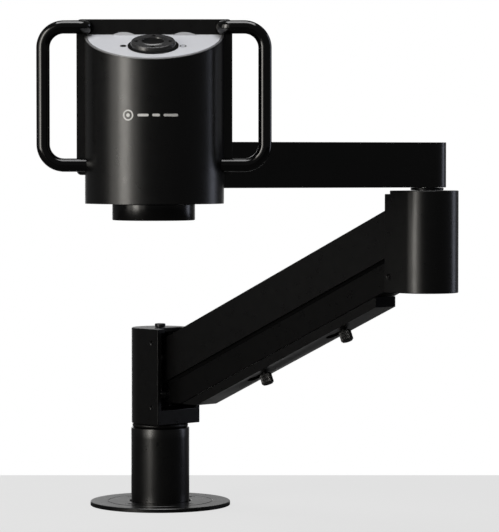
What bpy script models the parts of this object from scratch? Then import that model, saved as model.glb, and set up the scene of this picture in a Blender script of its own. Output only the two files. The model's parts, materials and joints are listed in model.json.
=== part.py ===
"""Digital camera magnifier on a spring-balanced desk arm.

Frame: metres, +Z up, origin on the desk plane at the column's axis. The head looks towards -Y.
Every body has an empty on its joint axis, and its pieces are children of that empty.
"""

import math

import bmesh
import bpy
from mathutils import Matrix, Vector

# ---------------------------------------------------------------- driving dimensions
GAP = 0.0003  # clearance between pieces that touch on the real object
RUN = 0.0003  # radial running clearance of pins and shafts

ARM_AZIMUTH = math.radians(-45.4)  # direction of the arm seen from above
ARM_SLOPE = math.radians(23.7)  # the arm's rise at rest
BEAM_AZIMUTH = math.radians(197.3)  # direction of the beam, from knuckle to head
PANEL_TILT = math.radians(20.9)  # slope of the head's control panel

# desk flange and column
FLANGE_R = 0.070
FLANGE_H = 0.004
FLANGE_RING_R = 0.0520
FLANGE_FLOOR = 0.0025
FLANGE_SCREW_CIRCLE = 0.0415
COLUMN_R = 0.0291
COLUMN_TOP = 0.0780
COLUMN_BORE = 0.0195
COLUMN_BORE_FLOOR = 0.010
SWIVEL_SHAFT_R = 0.0150
WASHER_R = 0.0279

# the two brackets: the knuckle's is the column's, turned upside down
BRACKET_R = 0.0286
BRACKET_FLOOR = 0.015
BRACKET_LID = 0.0045
POCKET_HALF = 0.0236
POCKET_REAR = -0.010
LOWER_BRACKET_Z = (0.0825, 0.1780)
LOWER_BRACKET_FRONT = 0.0275
KNUCKLE_Z = (0.3174, 0.2247)
KNUCKLE_FRONT = 0.0260

# parallelogram arm, in its own vertical plane: t runs out from the column's axis, z is height
PIN_OFFSET = 0.0182
LINK_LENGTH = 0.350
PIN_R = 0.004
UPPER_PIN_Z = 0.148
LOWER_PIN_Z = 0.112
COVER_TOP = 0.1585  # heights of the arm's four long edges where they would meet the column's axis
SEAM = 0.1149
CHANNEL_BOTTOM = 0.0854
TRAY_BOTTOM = 0.0752
COVER_HALF = 0.016
CHANNEL_HALF = 0.0135
SHEET = 0.002
UNDERCUT_Z = 0.1046
TRAY_END_T = 0.3060
THUMBSCREW_T = (0.1485, 0.2535)
KEYHOLE_REACH = 0.0165
THUMBSCREW_R = 0.006

# beam
BEAM_LENGTH = 0.254
BEAM_HALF = 0.0172
BEAM_Z = (0.3202, 0.3609)
BEAM_SHAFT_R = 0.009
BEAM_WASHER_R = 0.015

# head, in the frame of its pan axis
TILT_Z = 0.405
PLATE_FRONT = -0.062
PLATE_THICK = 0.008
PLATE_HALF = 0.0667
PLATE_TOP = 0.4652
PLATE_LOW = 0.332
BODY_R = 0.0595
BODY_WALL = 0.003
RIM = 0.002  # width of the shell's edge round the control panel
BODY_BOTTOM = 0.3076
PANEL_REAR_Z = 0.4522
PANEL_THICK = 0.002
LENS_DEPTH = 0.022
LIGHT_R = 0.0352
LIGHT_BOTTOM = 0.2938
RING_DEPTH = 0.0291
RING_R = 0.0216
HANDLE_R = 0.00575
HANDLE_HALF = 0.0946
HANDLE_Z = (0.3405, 0.4581)
HANDLE_BEND = 0.0178
HANDLE_REACH = 0.010

KNUCKLE_T = 2 * PIN_OFFSET + LINK_LENGTH * math.cos(ARM_SLOPE)
LINK_RISE = LINK_LENGTH * math.sin(ARM_SLOPE)


# ---------------------------------------------------------------- scene, materials and frames
def clear_scene():
    for obj in list(bpy.data.objects):
        bpy.data.objects.remove(obj)


def new_collection(name):
    collection = bpy.data.collections.new(name)
    bpy.context.scene.collection.children.link(collection)
    return collection


def new_material(name, color, roughness, metallic=0.0, alpha=1.0):
    material = bpy.data.materials.new(name)
    material.use_nodes = True
    shader = material.node_tree.nodes["Principled BSDF"]
    shader.inputs["Base Color"].default_value = (*color, 1.0)
    shader.inputs["Roughness"].default_value = roughness
    shader.inputs["Metallic"].default_value = metallic
    shader.inputs["Alpha"].default_value = alpha
    return material


clear_scene()
PARTS = new_collection("camera_magnifier")
CUTTERS = new_collection("cutters")
CUTTERS.hide_render = True

BLACK = new_material("black_anodised", (0.012, 0.012, 0.013), 0.38, 0.6)
BLACK_TUBE = new_material("black_handle", (0.010, 0.010, 0.011), 0.32, 0.5)
BLACK_PLASTIC = new_material("black_plastic", (0.015, 0.015, 0.016), 0.45)
SILVER = new_material("silver_panel", (0.60, 0.61, 0.64), 0.45, 0.3)
STEEL = new_material("steel", (0.55, 0.55, 0.56), 0.30, 1.0)
DARK_STEEL = new_material("dark_steel", (0.04, 0.04, 0.042), 0.35, 1.0)
BRONZE = new_material("bronze", (0.45, 0.30, 0.15), 0.35, 1.0)
DIFFUSER = new_material("diffuser", (0.85, 0.86, 0.88), 0.60)
GLASS = new_material("lens_glass", (0.05, 0.07, 0.10), 0.05, 0.0, 0.4)
BOARD = new_material("circuit_board", (0.02, 0.16, 0.07), 0.50)


class Frame:
    """An empty on a joint's axis. Pieces are drawn in coordinates whose zero is at `zero` from it."""

    def __init__(self, name, location, azimuth=0.0, zero=(0, 0, 0), pitch=0.0, roll=0.0):
        self.empty = bpy.data.objects.new(name, None)
        self.empty.empty_display_size = 0.02
        self.empty.location = location
        self.empty.rotation_euler = (roll, pitch, azimuth)
        PARTS.objects.link(self.empty)
        self.zero = Vector(zero)


def finish_object(name, mesh, frame, material):
    """Puts a mesh into the scene as a piece, or as a cutter if it has no material."""
    obj = bpy.data.objects.new(name, mesh)
    obj.parent = frame.empty
    obj.location = frame.zero
    if material is None:
        CUTTERS.objects.link(obj)
        obj.hide_render = True
        obj.display_type = "WIRE"
    else:
        PARTS.objects.link(obj)
        mesh.materials.append(material)
        mesh.shade_smooth()
        mesh.set_sharp_from_angle(angle=math.radians(35))
    return obj


# ---------------------------------------------------------------- shape makers
def box(name, frame, low, high, material=None):
    low, high = Vector(low), Vector(high)
    bm = bmesh.new()
    bmesh.ops.create_cube(bm, size=1.0)
    size = Matrix.Diagonal((*(high - low), 1.0))
    bm.transform(Matrix.Translation((low + high) / 2) @ size)
    mesh = bpy.data.meshes.new(name)
    bm.to_mesh(mesh)
    bm.free()
    return finish_object(name, mesh, frame, material)


def rod(name, frame, start, end, radius, material=None, sides=20):
    """A round bar from start to end."""
    start, end = Vector(start), Vector(end)
    bm = bmesh.new()
    bmesh.ops.create_cone(
        bm, cap_ends=True, segments=sides, radius1=radius, radius2=radius, depth=(end - start).length
    )
    turn = (end - start).to_track_quat("Z", "Y").to_matrix().to_4x4()
    bm.transform(Matrix.Translation((start + end) / 2) @ turn)
    mesh = bpy.data.meshes.new(name)
    bm.to_mesh(mesh)
    bm.free()
    return finish_object(name, mesh, frame, material)


def turned(name, frame, profile, material=None, at=(0, 0), steps=24, closed=False):
    """A turned shape: radius and height pairs, swept about a vertical axis at `at`."""
    mesh = bpy.data.meshes.new(name)
    points = [(radius, 0.0, height) for radius, height in profile]
    edges = [(i, i + 1) for i in range(len(points) - 1)]
    if closed:
        edges.append((len(points) - 1, 0))
    mesh.from_pydata(points, edges, [])
    obj = finish_object(name, mesh, frame, material)
    obj.location = frame.zero + Vector((at[0], at[1], 0))
    screw = obj.modifiers.new("turn", "SCREW")
    screw.steps = steps
    screw.render_steps = steps
    screw.use_merge_vertices = True
    screw.merge_threshold = 0.00001
    return obj


def outline_mesh(name, loops, thickness):
    """A flat outline, with any holes in it, given a thickness centred on its plane."""
    curve = bpy.data.curves.new(name, "CURVE")
    curve.dimensions = "2D"
    curve.fill_mode = "BOTH"
    curve.extrude = thickness / 2
    for loop in loops:
        spline = curve.splines.new("POLY")
        spline.points.add(len(loop) - 1)
        for point, (x, y) in zip(spline.points, loop):
            point.co = (x, y, 0.0, 1.0)
        spline.use_cyclic_u = True
    guide = bpy.data.objects.new(name + "_guide", curve)
    bpy.context.scene.collection.objects.link(guide)
    graph = bpy.context.evaluated_depsgraph_get()
    mesh = bpy.data.meshes.new_from_object(guide.evaluated_get(graph))
    bpy.data.objects.remove(guide)
    bm = bmesh.new()
    bm.from_mesh(mesh)
    bmesh.ops.remove_doubles(bm, verts=bm.verts, dist=0.000001)
    bmesh.ops.recalc_face_normals(bm, faces=bm.faces)
    bm.to_mesh(mesh)
    bm.free()
    mesh.name = name
    return mesh


def side_prism(name, frame, loops, middle, thickness, material=None):
    """An outline in x and z, with its thickness along y about the plane y = middle."""
    mesh = outline_mesh(name, loops, thickness)
    mesh.transform(Matrix.Translation((0, middle, 0)) @ Matrix.Rotation(math.pi / 2, 4, "X"))
    return finish_object(name, mesh, frame, material)


def end_prism(name, frame, loops, middle, thickness, material=None):
    """An outline in y and z, with its thickness along x about the plane x = middle."""
    mesh = outline_mesh(name, loops, thickness)
    stand = Matrix.Rotation(math.pi / 2, 4, "Z") @ Matrix.Rotation(math.pi / 2, 4, "X")
    mesh.transform(Matrix.Translation((middle, 0, 0)) @ stand)
    return finish_object(name, mesh, frame, material)


def plan_prism(name, frame, loops, low, high, material=None):
    """An outline in x and y, from height low to height high."""
    mesh = outline_mesh(name, loops, high - low)
    mesh.transform(Matrix.Translation((0, 0, (low + high) / 2)))
    return finish_object(name, mesh, frame, material)


def tube(name, frame, points, radius, material, sides_step=3):
    curve = bpy.data.curves.new(name, "CURVE")
    curve.dimensions = "3D"
    curve.bevel_depth = radius
    curve.bevel_resolution = sides_step
    curve.use_fill_caps = True
    spline = curve.splines.new("POLY")
    spline.points.add(len(points) - 1)
    for point, place in zip(spline.points, points):
        point.co = (*place, 1.0)
    curve.materials.append(material)
    obj = bpy.data.objects.new(name, curve)
    obj.parent = frame.empty
    obj.location = frame.zero
    PARTS.objects.link(obj)
    return obj


def bevel(obj, width, segments=1):
    modifier = obj.modifiers.new("edge", "BEVEL")
    modifier.width = width
    modifier.segments = segments
    modifier.limit_method = "ANGLE"
    modifier.angle_limit = math.radians(50)


def combine(obj, other, operation="DIFFERENCE"):
    modifier = obj.modifiers.new(other.name, "BOOLEAN")
    modifier.operation = operation
    modifier.object = other


def arc(centre, radius, start, end, steps):
    """Points on an arc, from angle start to angle end in degrees."""
    points = []
    for step in range(steps + 1):
        angle = math.radians(start + (end - start) * step / steps)
        points.append((centre[0] + radius * math.cos(angle), centre[1] + radius * math.sin(angle)))
    return points


def rounded_outline(corners, steps=5):
    """A closed outline through corners of (x, y, radius), each replaced by its round."""
    points = []
    count = len(corners)
    for index, (x, y, radius) in enumerate(corners):
        if radius == 0:
            points.append((x, y))
            continue
        here = Vector((x, y))
        before = (Vector(corners[index - 1][:2]) - here).normalized()
        after = (Vector(corners[(index + 1) % count][:2]) - here).normalized()
        half = before.angle(after) / 2
        reach = radius / math.tan(half)
        middle = here + (before + after).normalized() * radius / math.sin(half)
        first, last = here + before * reach - middle, here + after * reach - middle
        start = math.degrees(math.atan2(first.y, first.x))
        sweep = -math.degrees(first.angle_signed(last))
        points += arc(tuple(middle), radius, start, start + sweep, steps)
    return points


def annulus(inner, outer, low, high):
    """Closed profile of a plain ring, running down its outer side."""
    return [(inner, high), (outer, high), (outer, low), (inner, low)]


def disc(radius, low, high):
    """Open profile of a plain disc or bar, running down its outer side."""
    return [(0, high), (radius, high), (radius, low), (0, low)]


def socket_screw(name, frame, top, axis, head, shank, material, socket):
    """A screw whose head's top centre is at `top`. head and shank are (radius, length) pairs."""
    top, axis = Vector(top), Vector(axis).normalized()
    under = top - axis * head[1]
    obj = rod(name, frame, under, top, head[0], material)
    if shank is not None:
        low = under - axis * shank[1]
        stem = rod(name + "_stem", frame, low, under + axis * head[1] / 2, shank[0])
        combine(obj, stem, "UNION")
    recess = rod(name + "_socket", frame, top - axis * head[1] * 0.6, top + axis, socket, None, 6)
    combine(obj, recess)
    return obj


# ---------------------------------------------------------------- desk flange and column
def make_base(frame):
    flange = turned("base_flange", frame, [
        (0, FLANGE_FLOOR), (FLANGE_RING_R + GAP, FLANGE_FLOOR), (FLANGE_RING_R + GAP, FLANGE_H),
        (FLANGE_R - 0.0005, FLANGE_H), (FLANGE_R, FLANGE_H - 0.0005), (FLANGE_R, 0), (0, 0),
    ], BLACK, steps=48)
    ring = turned("flange_ring", frame, annulus(
        COLUMN_R + 0.0017, FLANGE_RING_R, FLANGE_FLOOR + GAP, FLANGE_H
    ), BLACK, steps=40, closed=True)
    for index in range(4):
        angle = math.radians(45 + 90 * index)
        x, y = FLANGE_SCREW_CIRCLE * math.cos(angle), FLANGE_SCREW_CIRCLE * math.sin(angle)
        hole = rod(f"flange_hole_{index + 1}", frame, (x, y, 0.0012), (x, y, 0.006), 0.0047)
        combine(ring, hole)
        combine(flange, hole)
        socket_screw(f"flange_screw_{index + 1}", frame, (x, y, FLANGE_H + 0.0002), (0, 0, 1),
                     (0.0044, 0.0024), None, STEEL, 0.0022)


def make_column(frame):
    column = turned("column_tube", frame, [
        (0, COLUMN_BORE_FLOOR), (COLUMN_BORE, COLUMN_BORE_FLOOR), (COLUMN_BORE, COLUMN_TOP),
        (COLUMN_R - 0.0008, COLUMN_TOP), (COLUMN_R, COLUMN_TOP - 0.0008),
        (COLUMN_R, FLANGE_FLOOR + GAP), (0, FLANGE_FLOOR + GAP),
    ], BLACK, steps=40)
    set_z = 0.063
    hole = rod("set_screw_hole", frame, (0, -0.032, set_z), (0, -0.017, set_z), 0.0026)
    combine(column, hole)
    socket_screw("column_set_screw", frame, (0, -0.0284, set_z), (0, -1, 0),
                 (0.0023, 0.006), None, DARK_STEEL, 0.0012)
    turned("column_bush_lower", frame, annulus(
        SWIVEL_SHAFT_R + RUN, COLUMN_BORE - GAP, 0.012, 0.028
    ), BRONZE, closed=True)
    turned("column_bush_upper", frame, annulus(
        SWIVEL_SHAFT_R + RUN, COLUMN_BORE - GAP, 0.046, 0.0775
    ), BRONZE, closed=True)
    turned("column_washer", frame, annulus(
        SWIVEL_SHAFT_R + RUN, WASHER_R, COLUMN_TOP + GAP, LOWER_BRACKET_Z[0] - GAP
    ), BLACK_PLASTIC, steps=32, closed=True)


# ---------------------------------------------------------------- brackets
def make_bracket(name, frame, ends, front, shaft_r):
    """A pocketed bracket: ends are the heights of its thick end and of its thin, notched end."""
    base, lid = ends
    way = 1 if lid > base else -1
    outline = arc((0, 0), BRACKET_R, 90, 270, 20) + [(front, -BRACKET_R), (front, BRACKET_R)]
    bracket = plan_prism(name, frame, [outline], min(ends), max(ends), BLACK)
    bevel(bracket, 0.0008)
    floor, ceiling = base + way * BRACKET_FLOOR, lid - way * BRACKET_LID
    combine(bracket, box(name + "_pocket", frame,
                         (POCKET_REAR, -POCKET_HALF, min(floor, ceiling)),
                         (front + 0.01, POCKET_HALF, max(floor, ceiling))))
    beyond = lid + way * 0.002
    combine(bracket, box(name + "_notch", frame,
                         (0.011, -0.019, min(ceiling - way * 0.001, beyond)),
                         (front + 0.01, 0.019, max(ceiling - way * 0.001, beyond))))
    shaft_end = base + way * 0.0098
    combine(bracket, rod(name + "_bore", frame, (0, 0, base - way * 0.001), (0, 0, shaft_end),
                         shaft_r + GAP, None, 32))
    return bracket


def add_pins(name, frame, bracket, heights):
    for label, height in zip(("upper", "lower"), heights):
        hole_end = POCKET_HALF + 0.0033
        combine(bracket, rod(f"{name}_{label}_seat", frame, (PIN_OFFSET, -hole_end, height),
                             (PIN_OFFSET, hole_end, height), PIN_R + GAP))
        pin_end = hole_end - GAP
        rod(f"{name}_{label}_pin", frame, (PIN_OFFSET, -pin_end, height),
            (PIN_OFFSET, pin_end, height), PIN_R, DARK_STEEL)


def make_turret(frame):
    bracket = make_bracket("lower_bracket", frame, LOWER_BRACKET_Z, LOWER_BRACKET_FRONT,
                           SWIVEL_SHAFT_R)
    add_pins("column", frame, bracket, (UPPER_PIN_Z, LOWER_PIN_Z))
    turned("swivel_shaft", frame, disc(
        SWIVEL_SHAFT_R, COLUMN_BORE_FLOOR + 0.001, LOWER_BRACKET_Z[0] + 0.0095
    ), STEEL)
    top = LOWER_BRACKET_Z[1]
    combine(bracket, rod("cap_screw_hole", frame, (0, 0, top - 0.0035), (0, 0, top + 0.01), 0.0033))
    socket_screw("bracket_cap_screw", frame, (0, 0, top + 0.0038), (0, 0, 1),
                 (0.00535, 0.0035), (0.003, 0.003), DARK_STEEL, 0.0025)
    for label, height in (("upper", 0.1641), ("lower", 0.1000)):
        place = (0.0184, -BRACKET_R, height)
        inner = Vector(place) + Vector((0, 0.006, 0))
        combine(bracket, rod(f"grub_hole_{label}", frame, Vector(place) - Vector((0, 0.002, 0)),
                             inner, 0.0018, None, 16))
        socket_screw(f"bracket_grub_{label}", frame, Vector(place) + Vector((0, 0.0003, 0)),
                     (0, -1, 0), (0.0015, 0.0042), None, DARK_STEEL, 0.0008)


def make_knuckle(frame):
    bracket = make_bracket("knuckle_bracket", frame, KNUCKLE_Z, KNUCKLE_FRONT, BEAM_SHAFT_R)
    step_width, step_height, beyond = 0.0062, 0.0032, 0.01
    combine(bracket, box("knuckle_step", frame,
                         (KNUCKLE_FRONT - step_width, -0.04, KNUCKLE_Z[0] - step_height),
                         (KNUCKLE_FRONT + beyond, 0.04, KNUCKLE_Z[0] + beyond)))
    add_pins("knuckle", frame, bracket, (UPPER_PIN_Z + LINK_RISE, LOWER_PIN_Z + LINK_RISE))
    turned("knuckle_shaft", frame, disc(
        BEAM_SHAFT_R, KNUCKLE_Z[0] - 0.0095, BEAM_Z[0] + 0.0295
    ), STEEL)
    turned("knuckle_washer", frame, annulus(
        BEAM_SHAFT_R + RUN, BEAM_WASHER_R, KNUCKLE_Z[0] + GAP, BEAM_Z[0] - GAP
    ), STEEL, closed=True)
    place = Vector((0.0203, BRACKET_R, 0.2392))
    combine(bracket, rod("knuckle_screw_hole", frame, place + Vector((0, 0.002, 0)),
                         place - Vector((0, 0.006, 0)), 0.0024, None, 16))
    socket_screw("knuckle_grub_screw", frame, place - Vector((0, 0.0006, 0)), (0, 1, 0),
                 (0.0021, 0.0040), None, DARK_STEEL, 0.0011)


# ---------------------------------------------------------------- arm
def rise(height, t):
    """Height at t of a long edge of the arm that starts at `height` over the column's axis."""
    return height + t * math.tan(ARM_SLOPE)


def on_link(pin_z, along, up):
    """The (t, z) of a point given along a link from its column pin, and square to it."""
    cos, sin = math.cos(ARM_SLOPE), math.sin(ARM_SLOPE)
    return PIN_OFFSET + along * cos - up * sin, pin_z + along * sin + up * cos


def end_block(name, frame, pin_z, at_knuckle, radius, half_width):
    """The solid end of a link, which turns on its pin."""
    reach, face = (LINK_LENGTH, LINK_LENGTH - 0.040) if at_knuckle else (0.0, 0.040)
    flat = 0.008
    way = -1 if at_knuckle else 1
    local = []
    for step in range(13):
        angle = math.radians(90 + 180 * step / 12)
        local.append((reach + way * radius * math.cos(angle), radius * math.sin(angle)))
    local += [(face, -flat), (face, flat)]
    outline = [on_link(pin_z, along, up) for along, up in local]
    centre = on_link(pin_z, reach, 0)
    hole = arc(centre, PIN_R + RUN, 0, 345, 23)
    return side_prism(name, frame, [outline, hole], 0, 2 * half_width, STEEL)


def make_upper_link(frame):
    left, right, clip_start, clip_end_z = 0.0195, 0.333, 0.323, 0.295
    cover = side_prism("arm_cover", frame, [rounded_outline([
        (left, rise(COVER_TOP, left), 0), (left, rise(SEAM, left), 0.005),
        (right, rise(SEAM, right), 0), (right, clip_end_z, 0),
        (clip_start, rise(COVER_TOP, clip_start), 0),
    ])], 0, 2 * COVER_HALF, BLACK)
    bevel(cover, 0.0008)
    roof = SHEET / math.cos(ARM_SLOPE)
    beyond, below = 0.36, SEAM - 0.02
    hollow = side_prism("arm_cover_hollow", frame, [[
        (0.0, rise(COVER_TOP - roof, 0.0)), (0.0, rise(below, 0.0)), (beyond, rise(below, beyond)),
        (beyond, clip_end_z - 2 * roof), (clip_start, rise(COVER_TOP - roof, clip_start - 0.001)),
    ]], 0, 2 * (COVER_HALF - SHEET))
    combine(cover, hollow)
    combine(cover, rod("arm_cover_pin_hole", frame, (PIN_OFFSET, -COVER_HALF - GAP, UPPER_PIN_Z),
                       (PIN_OFFSET, COVER_HALF + GAP, UPPER_PIN_Z), PIN_R + RUN, None, 24))
    end_block("upper_link_column_end", frame, UPPER_PIN_Z, False, 0.0085, 0.0137)
    end_block("upper_link_knuckle_end", frame, UPPER_PIN_Z, True, 0.0085, 0.0137)
    for name, start, end, radius, material in (
        ("gas_spring_cylinder", 0.0403, 0.215, 0.009, DARK_STEEL),
        ("gas_spring_rod", 0.2153, 0.3097, 0.004, STEEL),
    ):
        low, high = on_link(UPPER_PIN_Z, start, 0.001), on_link(UPPER_PIN_Z, end, 0.001)
        rod(name, frame, (low[0], 0, low[1]), (high[0], 0, high[1]), radius, material)


def thumbscrew_axis(t):
    """Foot of a thumbscrew on the tray's underside, and the direction square to the arm."""
    foot = Vector((t, 0, rise(TRAY_BOTTOM, t)))
    return foot, Vector((-math.sin(ARM_SLOPE), 0, math.cos(ARM_SLOPE)))


def make_lower_link(frame):
    left, right = 0.0277, 0.3335
    lap = 0.0098
    turn_t = (UNDERCUT_Z - CHANNEL_BOTTOM) / math.tan(ARM_SLOPE)
    channel = side_prism("lower_channel", frame, [[
        (left, rise(SEAM + lap, left)), (left, UNDERCUT_Z), (turn_t, UNDERCUT_Z),
        (right, rise(CHANNEL_BOTTOM, right)), (right, rise(SEAM + lap, right)),
    ]], 0, 2 * CHANNEL_HALF, BLACK)
    web = SHEET / math.cos(ARM_SLOPE)
    combine(channel, side_prism("channel_hollow", frame, [[
        (0.0, rise(CHANNEL_BOTTOM + web, 0.0)), (0.36, rise(CHANNEL_BOTTOM + web, 0.36)),
        (0.36, rise(SEAM + 0.04, 0.36)), (0.0, rise(SEAM + 0.04, 0.0)),
    ]], 0, 2 * (CHANNEL_HALF - SHEET)))
    for index, t in enumerate(THUMBSCREW_T):
        foot, up = thumbscrew_axis(t)
        combine(channel, rod(f"thread_hole_{index + 1}", frame, foot, foot + up * 0.02,
                             0.0025 + RUN, None, 16))
    end_block("lower_link_column_end", frame, LOWER_PIN_Z, False, 0.008, 0.0112)
    end_block("lower_link_knuckle_end", frame, LOWER_PIN_Z, True, 0.008, 0.0112)


def make_tray(frame):
    start, wall = 0.048, 0.0016
    turn_t = (UNDERCUT_Z - TRAY_BOTTOM) / math.tan(ARM_SLOPE)
    top = CHANNEL_BOTTOM - 2 * GAP
    tray = side_prism("cable_tray", frame, [[
        (start, rise(top, start)), (start, UNDERCUT_Z), (turn_t, UNDERCUT_Z),
        (TRAY_END_T, rise(TRAY_BOTTOM, TRAY_END_T)), (TRAY_END_T, rise(top, TRAY_END_T)),
    ]], 0, 2 * CHANNEL_HALF, BLACK)
    floor, inner = rise(TRAY_BOTTOM + 0.0018, 0), TRAY_END_T - wall
    combine(tray, side_prism("tray_hollow", frame, [[
        (start + 0.006, UNDERCUT_Z + wall), (turn_t + 0.001, UNDERCUT_Z + wall),
        (inner, rise(floor, inner)), (inner, rise(top + 0.005, inner)),
        (start + 0.006, rise(top + 0.005, start + 0.006)),
    ]], 0, 2 * (CHANNEL_HALF - wall)))
    along = Vector((math.cos(ARM_SLOPE), 0, math.sin(ARM_SLOPE)))
    for index, t in enumerate(THUMBSCREW_T):
        foot, up = thumbscrew_axis(t)
        label = f"keyhole_{index + 1}"
        eye = foot - along * KEYHOLE_REACH
        keyhole = rod(label, frame, eye - up * 0.002, eye + up * 0.004, THUMBSCREW_R + 0.0005)
        neck = rod(label + "_neck", frame, foot - up * 0.002, foot + up * 0.004, 0.0032, None, 16)
        slot = box(label + "_slot", frame, (-KEYHOLE_REACH, -0.0029, -0.0021), (0, 0.0029, 0.0041))
        slot.location = frame.zero + foot
        slot.rotation_euler = (0, -ARM_SLOPE, 0)
        for cutter in (keyhole, neck, slot):
            combine(tray, cutter)


def make_thumbscrew(frame, index):
    """A knurled knob hanging square to the arm, with a neck and a threaded stem."""
    knob, neck, stem = THUMBSCREW_R, 0.0036, 0.0025
    turned(f"thumbscrew_{index}", frame, [
        (0, 0.0150), (stem, 0.0150), (stem, -GAP), (neck, -GAP), (neck, -0.0010),
        (knob - 0.0006, -0.0010), (knob, -0.0016), (knob, -0.0107), (knob - 0.0010, -0.0117),
        (0, -0.0117),
    ], BLACK, steps=24)


# ---------------------------------------------------------------- beam
def make_beam(frame):
    outline = arc((0, 0), BEAM_HALF, 90, 270, 12) + arc((BEAM_LENGTH, 0), BEAM_HALF, -90, 90, 12)
    beam = plan_prism("beam_tube", frame, [outline], *BEAM_Z, BLACK)
    bevel(beam, 0.0007)
    duct_start, duct_end, duct_half = 0.024, BEAM_LENGTH - 0.024, 0.0125
    combine(beam, box("beam_duct", frame, (duct_start, -duct_half, BEAM_Z[0] - 0.001),
                      (duct_end, duct_half, BEAM_Z[1] - 0.003)))
    combine(beam, rod("beam_knuckle_bore", frame, (0, 0, BEAM_Z[0] - 0.001),
                      (0, 0, BEAM_Z[0] + 0.0298), BEAM_SHAFT_R + RUN, None, 32))
    combine(beam, rod("beam_pan_bore", frame, (BEAM_LENGTH, 0, BEAM_Z[1] - 0.0190),
                      (BEAM_LENGTH, 0, BEAM_Z[1] + 0.001), BEAM_SHAFT_R + RUN, None, 32))
    box("beam_duct_cover", frame, (duct_start + GAP, -duct_half + GAP, BEAM_Z[0] + 0.0002),
        (duct_end - GAP, duct_half - GAP, BEAM_Z[0] + 0.0020), BLACK_PLASTIC)


# ---------------------------------------------------------------- head carrier
def make_carrier(frame):
    low, high = BEAM_Z[1] + 0.0031, 0.430
    block = turned("pan_block", frame, [
        (0, high), (0.0170, high), (0.0180, high - 0.001), (0.0180, low), (0, low),
    ], BLACK)
    combine(block, rod("tilt_bore", frame, (-0.03, 0, TILT_Z), (0.03, 0, TILT_Z), 0.006 + RUN))
    combine(block, rod("pan_bore", frame, (0, 0, low - 0.001), (0, 0, low + 0.0083),
                       BEAM_SHAFT_R + GAP, None, 32))
    turned("pan_shaft", frame, disc(BEAM_SHAFT_R, BEAM_Z[1] - 0.0187, low + 0.0080), STEEL)
    turned("pan_washer", frame, annulus(
        BEAM_SHAFT_R + RUN, BEAM_WASHER_R, BEAM_Z[1] + GAP, low - GAP
    ), STEEL, closed=True)
    rod("tilt_shaft", frame, (-0.033, 0, TILT_Z), (0.033, 0, TILT_Z), 0.006, STEEL)


# ---------------------------------------------------------------- head
def panel_slab(name, frame, offset, above):
    """A cutter with one face parallel to the control panel, `offset` over the panel's surface."""
    low, high = (offset, offset + 0.2) if above else (offset - 0.2, offset)
    slab = box(name, frame, (-0.2, -0.2, low), (0.2, 0.2, high))
    slab.location = frame.zero + Vector((0, PLATE_FRONT, PANEL_REAR_Z))
    slab.rotation_euler = (PANEL_TILT, 0, 0)
    return slab


def half_disc(radius, gap):
    """Plan outline of a half disc in front of the back plate."""
    lean = math.degrees(math.asin(gap / radius))
    return arc((0, PLATE_FRONT), radius, 180 + lean, 360 - lean, 30)


def make_shell(frame):
    outer = half_disc(BODY_R, GAP)
    inner = half_disc(BODY_R - BODY_WALL, GAP)
    shell = plan_prism("body_shell", frame, [outer + inner[::-1]], BODY_BOTTOM, 0.470, BLACK)
    combine(shell, panel_slab("shell_top_cut", frame, 0.0, True))
    rebate = plan_prism("panel_rebate", frame, [half_disc(BODY_R - RIM, -0.001)], 0.40, 0.48)
    combine(rebate, panel_slab("rebate_floor", frame, -PANEL_THICK - GAP, False))
    combine(shell, rebate)
    for label, side in (("left", -1), ("right", 1)):
        y = PLATE_FRONT - HANDLE_REACH
        combine(shell, rod(f"handle_bore_{label}", frame, (side * 0.050, y, HANDLE_Z[0]),
                           (side * 0.070, y, HANDLE_Z[0]), HANDLE_R + GAP))


def make_top_panel(frame):
    radius = BODY_R - RIM - GAP
    panel = plan_prism("top_panel", frame, [half_disc(radius, GAP)], 0.40, 0.48, SILVER)
    combine(panel, panel_slab("panel_top_cut", frame, 0.0, True))
    combine(panel, panel_slab("panel_under_cut", frame, -PANEL_THICK, False))
    tab_r, tab_rise, tab_half = 0.0213, 0.0019, 0.026
    centre = PANEL_REAR_Z + tab_rise - tab_r
    spread = math.degrees(math.acos((tab_r - tab_rise - 0.001) / tab_r))
    for label, side in (("left", -1), ("right", 1)):
        outline = arc((side * tab_half, centre), tab_r, 90 - spread, 90 + spread, 12)
        tab = side_prism(f"panel_tab_{label}", frame, [outline],
                         PLATE_FRONT - GAP - 0.001, 0.002)
        combine(panel, tab, "UNION")
    centre_y = PLATE_FRONT - RING_DEPTH
    top = PANEL_REAR_Z - RING_DEPTH * math.tan(PANEL_TILT)
    normal = Vector((0, -math.sin(PANEL_TILT), math.cos(PANEL_TILT)))
    middle = Vector((0, centre_y, top))
    combine(panel, rod("button_hole", frame, middle - normal * 0.01, middle + normal * 0.01, 0.007))


def make_plate(frame):
    low, narrow, inset = BODY_BOTTOM + 0.0034, BODY_R, 0.0002
    outline = rounded_outline([
        (PLATE_HALF, PLATE_LOW, 0.004), (PLATE_HALF, PLATE_TOP, 0.004),
        (-PLATE_HALF, PLATE_TOP, 0.004), (-PLATE_HALF, PLATE_LOW, 0.004),
    ])
    plate = side_prism("back_plate", frame, [outline], PLATE_FRONT + PLATE_THICK / 2,
                       PLATE_THICK, BLACK)
    bevel(plate, 0.0006)
    tongue = box("plate_tongue", frame, (-narrow, PLATE_FRONT + inset, low),
                 (narrow, PLATE_FRONT + PLATE_THICK - inset, PLATE_LOW + 0.010))
    combine(plate, tongue, "UNION")
    for label, side in (("left", -1), ("right", 1)):
        combine(plate, rod(f"plate_bore_{label}", frame,
                           (side * 0.058, PLATE_FRONT - 0.001, HANDLE_Z[1]),
                           (side * 0.058, PLATE_FRONT + 0.0055, HANDLE_Z[1]), HANDLE_R + GAP))


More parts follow.
